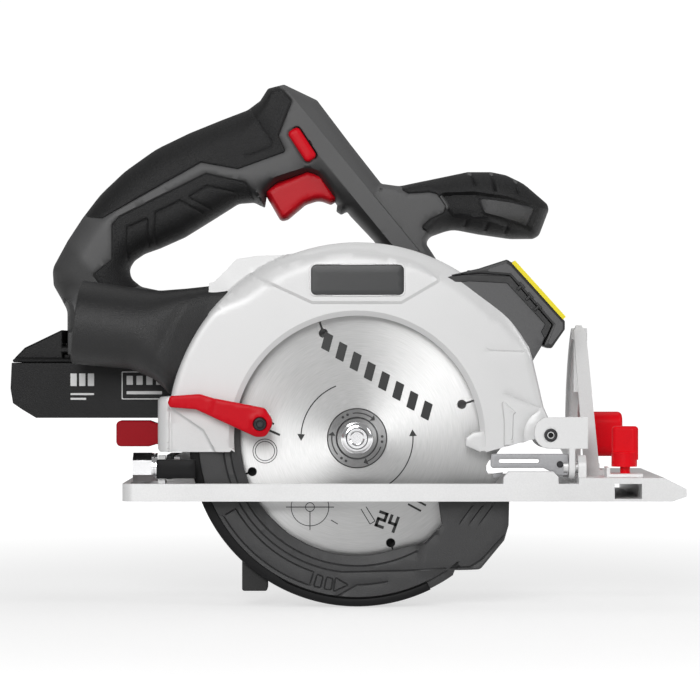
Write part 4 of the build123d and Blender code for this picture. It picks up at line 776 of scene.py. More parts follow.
def make_lower_grip():
    """Lower cover with three engraved panels."""
    panels = [rounded([(-118.2, 118), (-118.2, 137.4), (-107.3, 142.3), (-107.3, 122)], 0.8),
              rounded([(-103.6, 124), (-103.6, 145), (-90.7, 151.4), (-74, 141.5)], 0.8),
              rounded([(-86.6, 153.2), (-76.8, 158.9), (-61, 155.1), (-61.3, 149.1), (-70.5, 144)], 0.8)]

    def extras(points):
        cut = sum(groove(points, p, 0.55, loop=True) for p in panels)
        return -0.75 * np.minimum(cut, 1.0)

    lines = [(p, True, (-0.55, 0, 0.55)) for p in panels]
    grip("lower_grip_cover", lower_cover(), extras, lines, "lower_grip")


def front_cover():
    """Region of the cover round the front handle: its outline and its rear border."""
    edge = along(body_outline()[::-1], (48.5, 136.9), (22.5, 159.7))
    border = open_rounded([(22.5, 159.7), (23.5, 156.8), (26.5, 154.9), (37.5, 155.6), (41.3, 154.6), (45.5, 148.2),
                           (44.7, 144.9), (37.6, 141.9), (33.0, 137.6), (37.6, 133.6)], 1.5)
    return np.vstack([edge, border[1:]]), border


def make_front_grip():
    """Front cover: finger ridges top and bottom, and a sunk side panel with a raised pad."""
    recess = rounded([(41.8, 152.3), (43.6, 155.6), (60.4, 156.2), (77.3, 153.8), (94.6, 148.5), (89.7, 134.9),
                      (80.3, 136.4), (64.8, 141.6), (49.2, 142.3)], [2, 2, 8, 12, 3, 3, 6, 8, 3])
    pad = rounded([(61.7, 153), (67.9, 152.8), (80, 151.0), (92, 147.9), (87.5, 138), (74.1, 142.0), (65.2, 144.3)],
                  [3, 4, 10, 1.2, 1.5, 8, 3])
    ridges = [np.array(p) for p in ([(57.3, 167.5), (60.9, 159.2)], [(69.1, 168), (70.9, 156.6)],
                                    [(81.3, 165), (83.0, 155.2)], [(56.9, 141.2), (54.0, 135)],
                                    [(67.5, 139.6), (64.8, 132.5)], [(77.6, 137.4), (74.2, 130.5)])]

    def extras(points):
        sunk = ease(depth_in(points, recess), 2.0) * (4.2 - 2.6 * ease(points[:, 0] - 52, 22))
        raised = 1.3 * ease(depth_in(points, pad), 0.9) * ease(points[:, 0] - 58, 10)
        cut = sum(groove(points, line, 0.8) for line in ridges)
        return -sunk + raised - 1.5 * np.minimum(cut, 1)

    lines = [(recess, True, (-0.2, 1.0, 2.0)), (pad, True, (-0.2, 0.5, 1.0))]
    lines += [(line, False, (-1.2, -0.6, 0, 0.6, 1.2)) for line in ridges]
    grip("front_grip_cover", front_cover(), extras, lines, "front_grip", step=1.6)
    grip("front_grip_pad", (pad, dense(pad, 1.2)), lambda points: extras(points) + 0.15, [], None, proud=0.9,
         step=1.6, finish=CHARCOAL, slot="charcoal_plastic")


# ---------------------------------------------------------------- trigger and buttons
def make_trigger():
    """Trigger: a blade-shaped lever whose side face rolls over into its finger edge."""
    outline = rounded([(-46.8, 154.0), (-39.4, 141.2), (-35.7, 142.0), (-26.5, 149.8), (-19.5, 152.1), (-13.4, 149.8),
                       (-9.0, 152.5), (-17.0, 165.5), (-25.3, 168.2), (-42.6, 161.3), (-48.6, 157.0)],
                      [3, 2.5, 5, 6, 8, 1, 2, 4, 4, 4, 1])

    near, far = raised_face(HANDLE_Y - 2.0, -8.6, 3.6), raised_face(HANDLE_Y + 2.0, 8.6, 3.6)
    build("trigger_lever", *relief([outline], near, far, step=1.6, rings=(0.2, 0.6, 1.2, 2.0, 3.0)), TRIGGER_RED,
          "trigger", ("trigger",), "red_plastic")


def make_lock_off():
    """Lock-off button: a bar across the casing with domed ends."""
    outline = rounded([(-36.1, 186.1), (-30.2, 189.4), (-20.2, 174.0), (-25.8, 170.4)], 2.2)
    reach_out = HANDLE_HALF + 1.2

    near = raised_face(HANDLE_Y - reach_out + 2.0, -2.0, 1.6)
    far = raised_face(HANDLE_Y + reach_out - 2.0, 2.0, 1.6)
    build("lock_off_bar", *relief([outline], near, far, step=1.6, rings=(0.2, 0.7, 1.4)), RED,
          "lock_off_button", ("lock_off_button",), "red_plastic")


# ---------------------------------------------------------------- upper guard
def guard_outline():
    """Side outline of the upper guard: round crown, rear block, front shoulder and the foot line."""
    crown = arc(GUARD_CENTRE, GUARD_R, 24, 141.5, 90)
    bulge = [(-73.5, 107.9), (-70.9, 108.4), (-59.9, 119.8), (-50, 121.4), (-37.2, 121.8)]
    start = int(np.argmin(np.abs(crown[:, 0] + 33)))
    right = rounded([(102.4, 24), (92.5, 46.3), (90.2, 56), (87.1, 69.5), (84.0, 80)], [0.5, 4, 8, 2, 6])
    top = crown[:start]
    rear = arc(GUARD_CENTRE, GUARD_R, 142.0, 168.4, 24)
    left = np.array([(-92, 51.6), (-97.5, 51.2), (-99, 49.5), (-99, 25.5), (-97.5, 24)])
    return np.vstack([right[:-1], top[top[:, 0] < 82], np.array(bulge)[::-1], rear, left])


def make_upper_guard():
    """Near face, rim and far wall of the upper guard as one cast shell, open below and at the window."""
    outline = guard_outline()
    window = np.vstack([arc(AXLE, WINDOW_R, -6.2, 186.2, 96)])
    border = np.vstack([outline, [(-63, FOOT_Z), (-62.2, FOOT_Z + 1)], window[::-1], [(63, FOOT_Z + 1), (64, FOOT_Z)]])
    crown_line = arc(GUARD_CENTRE, GUARD_R, 2, 178, 120)
    window_line = arc(AXLE, WINDOW_R, -8, 188, 120)
    outer_edge = np.vstack([[(102.4, 24), (92.5, 46.3), (87.1, 69.5)], arc(GUARD_CENTRE, GUARD_R, 24, 168.4, 110),
                            [(-97.5, 51.2), (-99, 49.5), (-99, 24)]])
    panel = rounded([(-55.5, 112.6), (-22.3, 97.3), (22.2, 97.3), (42.5, 109.2), (30, 118.5), (0, 125), (-30, 120.5)],
                    [2, 1.5, 1.5, 2, 30, 60, 30])
    rib = rounded([(72.6, 27), (77.1, 27), (77.6, 42.6), (78.7, 43.5), (71.3, 50.7), (72.6, 38.9)],
                  [0.6, 0.6, 2, 0.4, 1, 2])
    fold = np.array([(73.6, 52.7), (100.4, 41.6)])
    socket = np.vstack([[(90.8, 46.4)], arc(PIVOT, 13.0, 118, 262, 24), [(97.6, 24.2)]])
    parting = np.array([(65.6, 74.3), (85.5, 73.6)])
    block = np.array([(-92.4, 45.4), (-76.4, 34.4), (-70.2, 23.0), (-92.4, 23.0)])
    seams = [np.array([(-92.4, 45.4), (-76.4, 34.4), (-70.2, 23.0)]), np.array([(-92.6, 50), (-92.6, 23.0)])]
    edge_strip = arc(GUARD_CENTRE, GUARD_R - 5, 142, 167, 24)

    def near(points, depth):
        x, z = points[:, 0], points[:, 1]
        angle = np.degrees(np.arctan2(z - GUARD_CENTRE[1], x - GUARD_CENTRE[0]))
        band = 2.2 + 6.6 * ease(angle - 22, 30) * (1 - ease(angle - 128, 14))
        beyond = ease(np.hypot(x - GUARD_CENTRE[0], z - GUARD_CENTRE[1]) - GUARD_R, 0.8) * (x < -25) * (z > 60)
        rim = reach(points, outer_edge, loop=False) * (1 - beyond)
        slope = np.clip(1 - rim / band, 0, 1)
        fall = (0.42 * band) * slope + 1.4 * (1 - shoulder(rim, 1.4)) + 1.6 * beyond
        ring = reach(points, window_line, loop=False)
        fall = fall + 1.5 * np.clip(1 - ring / 2.5, 0, 1) * (z > FOOT_Z + 2)
        lift = 0.9 * ease(depth_in(points, panel), 1.3)
        lift += 0.7 * ease(depth_in(points, rib), 0.5)
        lift -= 0.5 * groove(points, fold, 0.6) + 0.45 * groove(points, socket, 0.6)
        lift -= 0.35 * groove(points, parting, 0.35)
        lift -= 0.9 * ease(depth_in(points, block), 0.8) + 0.8 * sum(groove(points, line, 0.55) for line in seams)
        fall = fall + 5.0 * (1 - shoulder(x + 99.2, 7.0)) * (x < -92)
        return GUARD_NEAR + fall - lift * ease(rim, 3.0)

    lines = [(crown_line, False, (-8.8, -5, -1.4, -0.7, 0.3, 0.9)), (window_line, False, (-2.6, -1.2)),
             (panel, True, (-0.1, 0.7, 1.4)), (rib, True, (-0.1, 0.3, 0.6)), (fold, False, (-0.6, 0, 0.6)),
             (socket, False, (-0.6, 0, 0.6)), (parting, False, (-0.4, 0, 0.4)),
             (block, True, (-0.9, -0.4, 0, 0.4, 0.9)), (edge_strip, False, (-0.5, 0.5))]
    shell = relief([border], near, near, step=2.6, rings=(0.3, 0.9, 1.6, 2.6, 4.4), lines=lines, back=False)
    edge = dense(border, 1.6 * FINE)
    edge = edge[:int(np.argmin(((edge - outline[-1]) ** 2).sum(1))) + 1]
    rim_wall = edge_wall(edge, near(edge, np.zeros(len(edge))), GUARD_FAR - 1.2, (0.0, 0.12, 0.5, 0.94, 1.0))
    back_face = rolled_face(GUARD_FAR, -1.2, 1.2)
    boss = arc(AXLE, 16.3, 0, 360, 48)[:-1]
    far_wall = relief([outline, boss], back_face, back_face, step=6.0, rings=(0.4, 1.2), back=False)
    piece = build("upper_guard_shell", *joined(shell, rim_wall, far_wall), SILVER_PAINT, "saw_head", ("upper_guard",),
                  "silver_paint", crease=24, closed=True)
    give_wall(piece, 1.8, 24)


def make_badge():
    """Plain dark badge in a thin light frame."""
    frame_outline = rounded([(-23.6, 101.0), (24.0, 101.0), (24.0, 117.2), (-23.6, 117.2)], 3.0)
    plate = rounded([(-22.7, 101.8), (23.1, 101.8), (23.1, 116.5), (-22.7, 116.5)], 2.4)
    top = GUARD_NEAR - 0.9
    rim = relief([frame_outline, plate], raised_face(top, -0.9, 0.35), level_face(top + 1), step=1.5, rings=(0.2,))
    build("badge_frame", *rim, BRACKET_WHITE, "saw_head", slot="silver_paint")
    face = relief([plate], raised_face(top, -0.35, 0.5), level_face(top + 0.8), step=3.0, rings=(0.2, 0.5))
    build("badge_plate", *face, BADGE, "saw_head", ("guard_badge",), "badge_grey")


# ---------------------------------------------------------------- lower guard
def make_lower_guard():
    """Retracting guard: near face ring with a stepped black rim, an engraved arrow, the beak, rim and far wall."""
    start, end = -196.0, -23.0
    outer = arc(AXLE, LOWER_R, start, end, 120)
    inner = np.vstack([[(39.6, 4.0), (42.0, -12.3), (33.7, -21.0)], arc(AXLE, 58.0, -72, start, 100)])
    beak = [(75.5, -1.5), (75.2, -12.4), (73, -19.9), (61.1, -34.3), (56, -34.6), (48.6, -34.8)]
    cut = int(np.argmin(((outer - (48.6, -36.3)) ** 2).sum(1)))
    beak_edge = rounded([(52.0, 5.0), (75.5, 3.0)] + beak + [(40, -34)], [0, 1, 1, 4, 2, 3, 3, 1, 0])[1:-1][::-1]
    outline = np.vstack([outer[:cut], beak_edge, [(75.5, 3.0)], inner])
    arrow_out = arc(AXLE, 76.5, -150, -108, 40)
    arrow_in = arc(AXLE, 69.5, -108, -150, 40)
    slot_shape = np.vstack([arrow_out, arrow_in])
    chevrons = [rounded([turn(a, 70.2, AXLE), turn(a + 2.6, 70.6, AXLE), turn(a + 2.6, 76.2, AXLE),
                         turn(a, 76.4, AXLE)], 0.8) for a in (-106.4, -102.4)]
    head = rounded([turn(-98.8, 69.8, AXLE), turn(-93.5, 72.8, AXLE), turn(-98.8, 76.8, AXLE)], [0.4, 0.3, 0.4])
    ring_one = arc(AXLE, 63.2, -196, -62, 80)
    ring_two = np.vstack([arc(AXLE, 66.6, -196, -96, 60), [(24, -35.0), (56, -33.0), (61.6, -29.5), (73.2, -17)]])
    blade_line = np.vstack([arc(AXLE, 82.0, -112, -100, 8), arc(AXLE, 72.5, -90, -78, 8)])
    ticks = [np.array([(x, -3.0), (x - 5.5, -10.5)]) for x in (57.0, 62.0, 67.0)]

    def near(points, depth):
        radius = np.hypot(points[:, 0] - AXLE[0], points[:, 1] - AXLE[1])
        rim_step = 1.6 * ease(radius - 78.6, 0.8) * (points[:, 0] < 50)
        tail = 1.2 * (1 - ease(radius - 60.4, 2.2)) * (points[:, 0] < 40)
        cut_lines = sum(groove(points, p, 0.42, loop=True) for p in [slot_shape, head] + chevrons)
        cut_lines = cut_lines + sum(groove(points, p, 0.5) for p in (ring_one, ring_two, blade_line))
        cut_lines = cut_lines + 0.8 * sum(groove(points, p, 0.35) for p in ticks)
        beak_lift = 1.6 * ease(points[:, 0] - 24 - (points[:, 1] + 50) * 0.2, 6) * ease(points[:, 1] + 36.5, 2.5)
        edge_roll = 1.0 - shoulder(depth, 1.0)
        return LOWER_NEAR + rim_step + tail - beak_lift + 0.8 * np.minimum(cut_lines, 1) + edge_roll

    lines = [(p, True, (-0.45, 0, 0.45)) for p in [slot_shape, head] + chevrons]
    lines += [(p, False, (-0.5, 0, 0.5)) for p in (ring_one, ring_two, blade_line)]
    lines += [(p, False, (-0.35, 0, 0.35)) for p in ticks]
    lines += [(arc(AXLE, 79.0, start, end, 100), False, (-0.5, 0, 0.5))]
    face = relief([outline], near, near, step=2.4, rings=(0.3, 1.0), lines=lines, back=False)
    edge = dense(outline, 1.6 * FINE)
    edge = edge[:int(np.argmin(((edge - beak_edge[-1]) ** 2).sum(1))) + 1]
    rim = edge_wall(edge, near(edge, np.zeros(len(edge))), LOWER_FAR, (0.0, 0.5, 1.0))
    back_outline = np.vstack([outer[:cut], beak_edge, [(75.5, 3.0), (22, 34)], arc(AXLE, 22, 5, 165, 20)])
    hub = arc(AXLE, 16.3, 0, 360, 40)[:-1]
    back = relief([back_outline, hub], level_face(LOWER_FAR), level_face(LOWER_FAR), step=7.0, back=False)
    piece = build("lower_guard_shell", *joined(face, rim, back), CHARCOAL, "lower_guard", ("lower_guard",),
                  "charcoal_plastic", crease=26, closed=True)
    give_wall(piece, 1.6, 26)
    # a blacker rim is bonded round the guard
    band = np.vstack([arc(AXLE, 83.35, start + 8, -64, 90), arc(AXLE, 79.4, -64, -116, 40),
                      arc(AXLE, 78.6, -121, start + 8, 60)])
    rim_band = relief([band], raised_face(LOWER_NEAR + 0.9, -0.9, 0.6),
                      level_face(LOWER_NEAR + 4.0), step=2.4, rings=(0.25, 0.7))
    build("lower_guard_band", *rim_band, RIM_BLACK, "lower_guard", slot="charcoal_plastic")


# ---------------------------------------------------------------- dust port
def make_dust_port():
    """Dust outlet: a section carried from the bore's mouth to the guard between a top and a bottom edge line.

    Each section is a superellipse; it runs round near the mouth and grows squarer towards the guard."""
    top = np.array([(-136.8, 109.3), (-125, 107.6), (-112, 105.8), (-98.6, 104.2), (-85, 105.2), (-74, 106.4),
                    (-66, 107.1), (-60.5, 107.4)])
    bottom = np.array([(-142.3, 67.6), (-128, 66.3), (-113, 65.0), (-101.5, 60.0), (-96.5, 55.5), (-94, 52.8),
                       (-92.5, 51.8), (-90.5, 51)])
    u = np.linspace(0, 1, 44)
    knots = np.linspace(0, 1, len(top))
    upper = np.stack([np.interp(u, knots, top[:, 0]), np.interp(u, knots, top[:, 1])], 1)
    lower = np.stack([np.interp(u, knots, bottom[:, 0]), np.interp(u, knots, bottom[:, 1])], 1)
    centre, half = (upper + lower) / 2, (upper - lower) / 2
    deep = 20.5 - 7.2 * ease(u - 0.3, 0.62)
    power = 2.0 + 1.6 * ease(u - 0.3, 0.35)
    angles = np.linspace(0, 2 * np.pi, 72, endpoint=False)
    c, s = np.cos(angles), np.sin(angles)
    up = np.sign(c)[None] * np.abs(c)[None] ** (2 / power[:, None])
    side = np.sign(s)[None] * np.abs(s)[None] ** (2 / power[:, None])

    def section(scale, index, push=0.0):
        axis = np.array([-0.9914, 0.1305])
        spot = centre[index] + axis * push
        ring = spot[None] + half[index][None] * (up[index] * scale)[:, None]
        return np.stack([ring[:, 0], PORT_Y + deep[index] * scale * side[index], ring[:, 1]], -1)

    mouth = [section(0.852, 0, -28.0), section(0.852, 0, -2.0), section(0.862, 0, 0.0), section(0.90, 0, 0.6),
             section(0.965, 0, 0.6), section(0.995, 0, 0.1), section(1.0, 0, -0.9)]
    body = [section(1.0, k) for k in range(1, len(u))]
    closing = [section(s, len(u) - 1) for s in (0.8, 0.4, 0)]
    floor = [section(s, 0, -28.0) for s in (0, 0.45)]
    rings = floor + mouth + body + closing
    verts = np.vstack(rings)
    seam = dense(np.array([(-79.4, 106.5), (-83.5, 101.2), (-93.6, 85.2), (-100.2, 71.6), (-101.4, 66.0),
                           (-90.6, 60.0)]), 1.5, loop=False)
    facing = verts[:, 1] < PORT_Y - 6
    verts[:, 1] += np.where(facing, 0.5 * np.exp(-(reach(verts[:, [0, 2]], seam, loop=False) / 0.9) ** 2), 0)
    faces = grid_faces(len(rings), len(angles), wrap_columns=True)
    build("dust_outlet", verts, faces, PORT_BLACK, "saw_head", ("dust_port",), "black_plastic", crease=40,
          closed=True)


# ---------------------------------------------------------------- laser guide
def make_laser():
    """Laser guide: grey body against the guard, black cap with a grey side inlay and its latches, yellow strip."""
    body = np.vstack([rounded([(36, 108.5), (42.8, 110.6), (54.8, 112.8), (75.3, 111.9), (96.3, 86.9), (91.2, 75.8),
                               (86.5, 68)], [0, 2, 3, 3, 2, 2, 0]), arc(AXLE, LOWER_R + 2.2, 29, 63, 24)])
    face = relief([body], rolled_face(-13.0, 1.2, 1.2), rolled_face(9.0, -1.2, 1.2),
                  step=3.0, rings=(0.3, 0.8))
    build("laser_body_shell", *face, LASER_GREY, "saw_head", ("laser_body",), "grey_plastic")
    cap = rounded([(42.5, 110.8), (60.3, 114.9), (74.3, 119.4), (77.2, 117.5), (103, 88.8), (103, 84.7), (96.3, 75.1),
                   (92.2, 76.4), (96.9, 87), (75.6, 111.4), (60.3, 112.6)], [0.3, 3, 1.5, 1.5, 1, 1.5, 1.5, 1, 1, 2, 1])
    cap_face = relief([cap], rolled_face(-14.0, 0.8, 0.8),
                      rolled_face(10.0, -0.8, 0.8), step=3.0, rings=(0.25, 0.6))
    build("laser_cap_shell", *cap_face, LASER_BLACK, "saw_head", ("laser_cap",), "black_plastic")
    inlay = rounded([(61.6, 113.6), (73.6, 117.6), (76.2, 116.2), (102.0, 88.0), (102.0, 84.9), (96.2, 76.9),
                     (94.4, 77.6), (98.2, 87.2), (76.2, 112.4)], 0.8)
    plate = relief([inlay], rolled_face(-14.35, 0.3, 0.3),
                   level_face(-13.4), step=2.0, rings=(0.2,))
    build("laser_cap_inlay", *plate, LASER_GREY, "saw_head", slot="grey_plastic", closed=True)
    slant, across = np.array([0.669, -0.743]), np.array([0.743, 0.669])
    shapes = []
    for k in range(3):
        spot = np.array([80.6, 105.6]) + np.array([4.2, -5.1]) * k
        stem = [spot + slant * a + across * b for a, b in ((-0.7, -1.8), (0.7, -1.8), (0.7, 1.2), (-0.7, 1.2))]
        head = [spot + slant * a + across * b for a, b in ((-1.9, 0.9), (1.9, 0.9), (1.9, 2.1), (-1.9, 2.1))]
        shapes += [relief([rounded(bar, 0.3)], rolled_face(-14.9, 0.3, 0.3),
                          level_face(-13.9), step=2.0, rings=(0.2,)) for bar in (stem, head)]
    build("laser_cap_latches", *joined(*shapes), LASER_BLACK, "saw_head", slot="black_plastic", closed=True)
    trim = rounded([(37.5, 107.6), (42.5, 110.6), (54, 112.0), (75.8, 111.2), (96.6, 87.0), (93.2, 79.6), (91.2, 83.6),
                    (93.2, 87.2), (74.2, 107.6), (56, 108.6), (42, 107.6)], 0.8)
    build("laser_body_trim", *relief([trim], rolled_face(-13.7, 0.5, 0.5),
                                     level_face(-12.4), step=2.4, rings=(0.25,)),
          LASER_BLACK, "saw_head", slot="black_plastic", closed=True)
    strip = rounded([(76.6, 117.6), (78.2, 118.9), (103.4, 91.0), (102.0, 89.6)], 0.3)
    build("laser_strip", *relief([strip], level_face(-14.3), level_face(10.2), step=3.0),
          YELLOW, "saw_head", slot="badge_grey", closed=True)


# ---------------------------------------------------------------- printed marks and small trim
def flat_mark(name, outlines, y, thick, finish, body, slot):
    """Thin printed or raised marks: each outline stands this thick off the plane Y = y towards the near side."""
    shapes = [relief(loops, level_face(y - thick), level_face(y + 0.05), step=3.0)
              for loops in outlines]
    return build(name, *joined(*shapes), finish, body, slot=slot)


def ring_arrow(centre, radius, width, start, end, head):
    """Outline of an arrow bent round a centre, pointing towards its end angle."""
    sense = 1 if end > start else -1
    outer = arc(centre, radius + width / 2, start, end, 24)
    inner = arc(centre, radius - width / 2, end, start, 24)
    tip = np.array([turn(end, radius + 2.2 * width + 0.6, centre), turn(end + sense * head, radius, centre),
                    turn(end, radius - 2.2 * width - 0.6, centre)])
    return np.vstack([outer, tip, inner])


def digit(segments, origin, height, angle, stroke):
    """A number drawn as strokes: each segment of a seven-bar figure is a slim bar, turned and placed."""
    corners = {"a": ((0, 2), (1, 2)), "b": ((1, 2), (1, 1)), "c": ((1, 1), (1, 0)), "d": ((0, 0), (1, 0)),
               "e": ((0, 0), (0, 1)), "f": ((0, 1), (0, 2)), "g": ((0, 1), (1, 1))}
    spin = np.array([[cos(radians(angle)), sin(radians(angle))], [-sin(radians(angle)), cos(radians(angle))]])
    bars = []
    for key in segments:
        a, b = (np.array(p, float) * height / 2 * (0.95, 1) for p in corners[key])
        along_bar = (b - a) / np.linalg.norm(b - a) * stroke / 2
        side = np.array([-along_bar[1], along_bar[0]])
        bar = np.array([a - along_bar - side, b + along_bar - side, b + along_bar + side, a - along_bar + side])
        bars.append([bar @ spin + origin])
    return bars


def make_blade_marks():
    """Marks printed on the blade: turning arrows, a slanted row of bars, gauge rings and the tooth count."""
    y = -0.6
    lean, wide, run = np.array([2.2, 8.2]), np.array([4.0, -2.1]), np.array([7.1, -4.9])
    bars = [[rounded([base, base + wide, base + wide + lean, base + lean], 0.3)]
            for base in (np.array([-18.0, 75.5]) + run * k for k in range(8))]
    flat_mark("blade_bars", bars, y, 0.06, PRINT, "arbor", "steel")
    arrows = [[ring_arrow(AXLE, 28.0, 0.6, 112, 176, 7)], [ring_arrow(AXLE, 28.0, 0.6, -62, 2, 7)]]
    flat_mark("blade_arrows", arrows, y, 0.06, PRINT, "arbor", "steel")
    count = digit("abged", (9.5, -13.0), 7.0, -20, 1.5) + digit("fgbc", (15.0, -15.0), 7.0, -20, 1.5)
    flat_mark("blade_tooth_count", count, y, 0.06, PRINT, "arbor", "steel")

    def circle(centre, radius):
        return [arc(centre, radius, 0, 360, 48)[:-1], arc(centre, radius - 0.4, 0, 360, 48)[:-1]]

    def stroke(a, b, width=0.45):
        a, b = np.array(a, float), np.array(b, float)
        side = (b - a)[::-1] * (-1, 1) / np.linalg.norm(b - a) * width / 2
        return [np.array([a - side, b - side, b + side, a + side])]

    gauge = [circle((-23.5, -4.0), 9.6), circle((-23.5, -4.0), 2.4), circle((-46.0, 24.0), 6.2),
             circle((-46.0, 24.0), 5.0), stroke((-35.5, -4.0), (-11.5, -4.0)), stroke((-23.5, -15.5), (-23.5, -6.0)),
             stroke((-13.0, -10.5), (-9.6, -12.5)), stroke((2.0, -5.0), (6.5, -12.5)),
             stroke((4.5, -3.8), (9.0, -11.0)),
             stroke((6.5, -12.5), (9.0, -11.0)), stroke((-51.0, 41.5), (-41.5, 37.5), 1.1),
             stroke((-53.5, 38.5), (-38.5, 32.0), 1.1), stroke((27.5, 0.5), (34.5, -3.2), 1.0),
             stroke((25.5, -2.5), (32.0, -6.0), 1.0)]
    flat_mark("blade_gauge", gauge, y, 0.06, PRINT, "arbor", "steel")


def make_flange():
    """Outer flange: a lathed steel washer with a turned recess and raised arrows, held by a socket-headed bolt."""
    face = -3.6
    profile = [(5.1, -2.4), (9.8, -2.4), (10.1, -2.6), (10.4, face + 0.2), (10.7, face), (14.5, face),
               (15.0, face + 0.5), (15.0, -0.6), (5.1, -0.6), (5.1, -2.4)]
    build("outer_flange_disc", *lathe(profile, AXLE, 96), FLANGE_STEEL, "arbor", ("outer_flange",), "steel",
          closed=True)
    marks = [[ring_arrow(AXLE, 12.6, 0.6, start, start - 46, 9)] for start in (100, 220, 340)]
    marks += [[arc(turn(a, 12.6, AXLE), 0.7, 0, 360, 16)[:-1]] for a in (112, 124, 232, 244, 352, 4)]
    flat_mark("flange_arrows", marks, face, 0.12, PRINT, "arbor", "steel")
    head = [(0, -5.4), (2.9, -5.4), (3.1, -8.2), (3.8, -8.7), (5.0, -8.7), (5.5, -8.1), (5.7, -5.6), (6.9, -5.4),
            (7.3, -5.1), (7.4, -3.9), (8.0, -3.7), (8.0, -2.5), (4.9, -2.4), (4.9, 15.9), (0, 15.9)]
    build("blade_bolt_head", *lathe(head, AXLE, 64), CHROME, "arbor", ("blade_bolt",), "steel", closed=True)


def make_screws():
    """Screws and pins seen from outside: casing screws from the far side, the trigger's hidden pin,
    the lever's dark screw and the pivot's dark socket."""
    casing = [dense(body_outline(), 1.5), dense(loop_outline(), 1.5)]
    shapes = []
    for x, z in ((-147, 112), (-22, 195), (0, 160), (30, 108), (-62, 93), (-141, 87)):
        spot = np.array([[x, z]], float)
        out = HANDLE_Y + float(handle_bulk(spot, depth_from(spot, casing))[0]) + 0.5
        shapes.append(lathe([(0, out - 1.4), (1.3, out - 1.4), (1.5, out - 0.2), (2.4, out), (3.4, out - 0.5),
                             (3.7, out - 1.4), (1.5, out - 1.6), (1.5, HANDLE_Y - 3), (0, HANDLE_Y - 3)], (x, z), 32))
    build("housing_screw_heads", *joined(*shapes), BLACK_STEEL, "saw_head", ("housing_screws",), "black_steel",
          closed=True)
    build("trigger_pin_short", *lathe([(0, 50), (1.5, 50), (1.5, 66), (0, 66)], (-17.0, 157.0), 32), STEEL,
          "saw_head", ("trigger_pin",), "steel", closed=True)
    screw = [(0, -23.0), (1.5, -23.0), (1.7, -24.3), (2.2, -24.6), (3.0, -24.3), (3.2, -23.8), (3.2, -11.6),
             (0, -11.6)]
    build("guard_lever_screw_head", *lathe(screw, (-47.9, 38.0), 40), BLACK_STEEL, "lower_guard",
          ("guard_lever_screw",), "black_steel", closed=True)
    ring = [(1.6, -21.0), (1.8, -21.5), (2.5, -21.7), (3.2, -21.5), (3.4, -21.0), (1.6, -21.0)]
    build("pivot_socket_ring", *lathe(ring, PIVOT, 48), BLACK_STEEL, "bevel_carriage", slot="black_steel", closed=True)
    dish = [(0, -21.35), (1.3, -21.35), (1.3, -21.0), (0, -21.0)]
    build("pivot_socket", *lathe(dish, PIVOT, 32), RIM_BLACK, "bevel_carriage", slot="black_steel", closed=True)
    for place in frame["nodes"]["depth_pivot_pin"].material_slots:
        place.material = BRACKET_WHITE


def make_front_link():
    """Bent steel link under the guard's front foot, with its long slot and a dark rivet."""
    plate = rounded([(66, 23.2), (104.4, 23.2), (104.4, 12.5), (99.5, 12.5), (92, 16.2), (66, 16.2)],
                    [1.5, 0.5, 1, 2, 2, 1.5])
    slot = rounded([(70, 20.6), (90, 20.6), (90, 18.6), (70, 18.6)], 1.0)
    link = relief([plate, slot], rolled_face(-18.2, 0.4, 0.4), level_face(-16.2),
                  step=3.0, rings=(0.2, 0.5))
    build("front_link", *link, CAST_GREY, "bevel_carriage", slot="steel", closed=True)
    build("front_link_rivet", *lathe([(0, -19.0), (1.2, -19.0), (1.6, -18.6), (1.7, -17.0), (0, -17.0)],
                                     (100.2, 18.0), 24),
          BLACK_STEEL, "bevel_carriage", slot="black_steel", closed=True)


def make_guard_foot_stop():
    """Square rubber stop under the lower guard."""
    outline = rounded([(-57.2, -26), (-57.2, -45.4), (-44.6, -45.4), (-44.6, -38)], [0.5, 1.2, 1.2, 0.5])
    stop = relief([outline], rolled_face(-8.0, 0.8, 0.8), rolled_face(10.0, -0.8, 0.8),
                  step=3.0, rings=(0.3, 0.8))
    build("guard_stop", *stop, RUBBER, "lower_guard", ("guard_bumper",), "black_rubber", closed=True)


def make_rear_block():
    """Black block on the base, standing before the strut's hinge and low enough for the guard to tilt over it."""
    outline = rounded([(-98.8, 11.2), (-79.4, 11.2), (-79.4, 20.6), (-98.8, 20.6)], [0.8, 0.6, 0.6, 0.8])
    block = relief([outline], rolled_face(-23.6, 0.9, 0.9), level_face(-21.2),
                   step=3.0, rings=(0.3, 0.8))
    build("rear_hinge_block", *block, RIM_BLACK, "base", slot="black_steel", closed=True)


def make_battery_marks():
    """Generic marks on the battery's near side: a charge gauge and a light frame with bars."""
    y = 24.0

    def bar(x, z, wide, high):
        return [rounded([(x, z), (x + wide, z), (x + wide, z + high), (x, z + high)], 0.3)]

    cells = [bar(-145.5 + 4.4 * k, 56.2, 3.2, 6.4) for k in range(3)]
    cells += [bar(-145.5, 51.6, 12.0, 1.0), bar(-145.5, 49.2, 8.0, 1.0)]
    frame_outline = [rounded([(-119.5, 49.4), (-92, 49.4), (-92, 63.6), (-119.5, 63.6)], 0.6),
                     rounded([(-119.0, 49.9), (-92.5, 49.9), (-92.5, 63.1), (-119.0, 63.1)], 0.5)]
    stripes = [bar(-117.0 + 5.0 * k, 56.8, 3.2, 4.6) for k in range(5)] + [bar(-117.0, 52.0, 18.0, 1.6)]
    flat_mark("battery_gauge", cells + [frame_outline] + stripes, y, 0.08, PALE_PRINT, "battery_pack", "badge_grey")


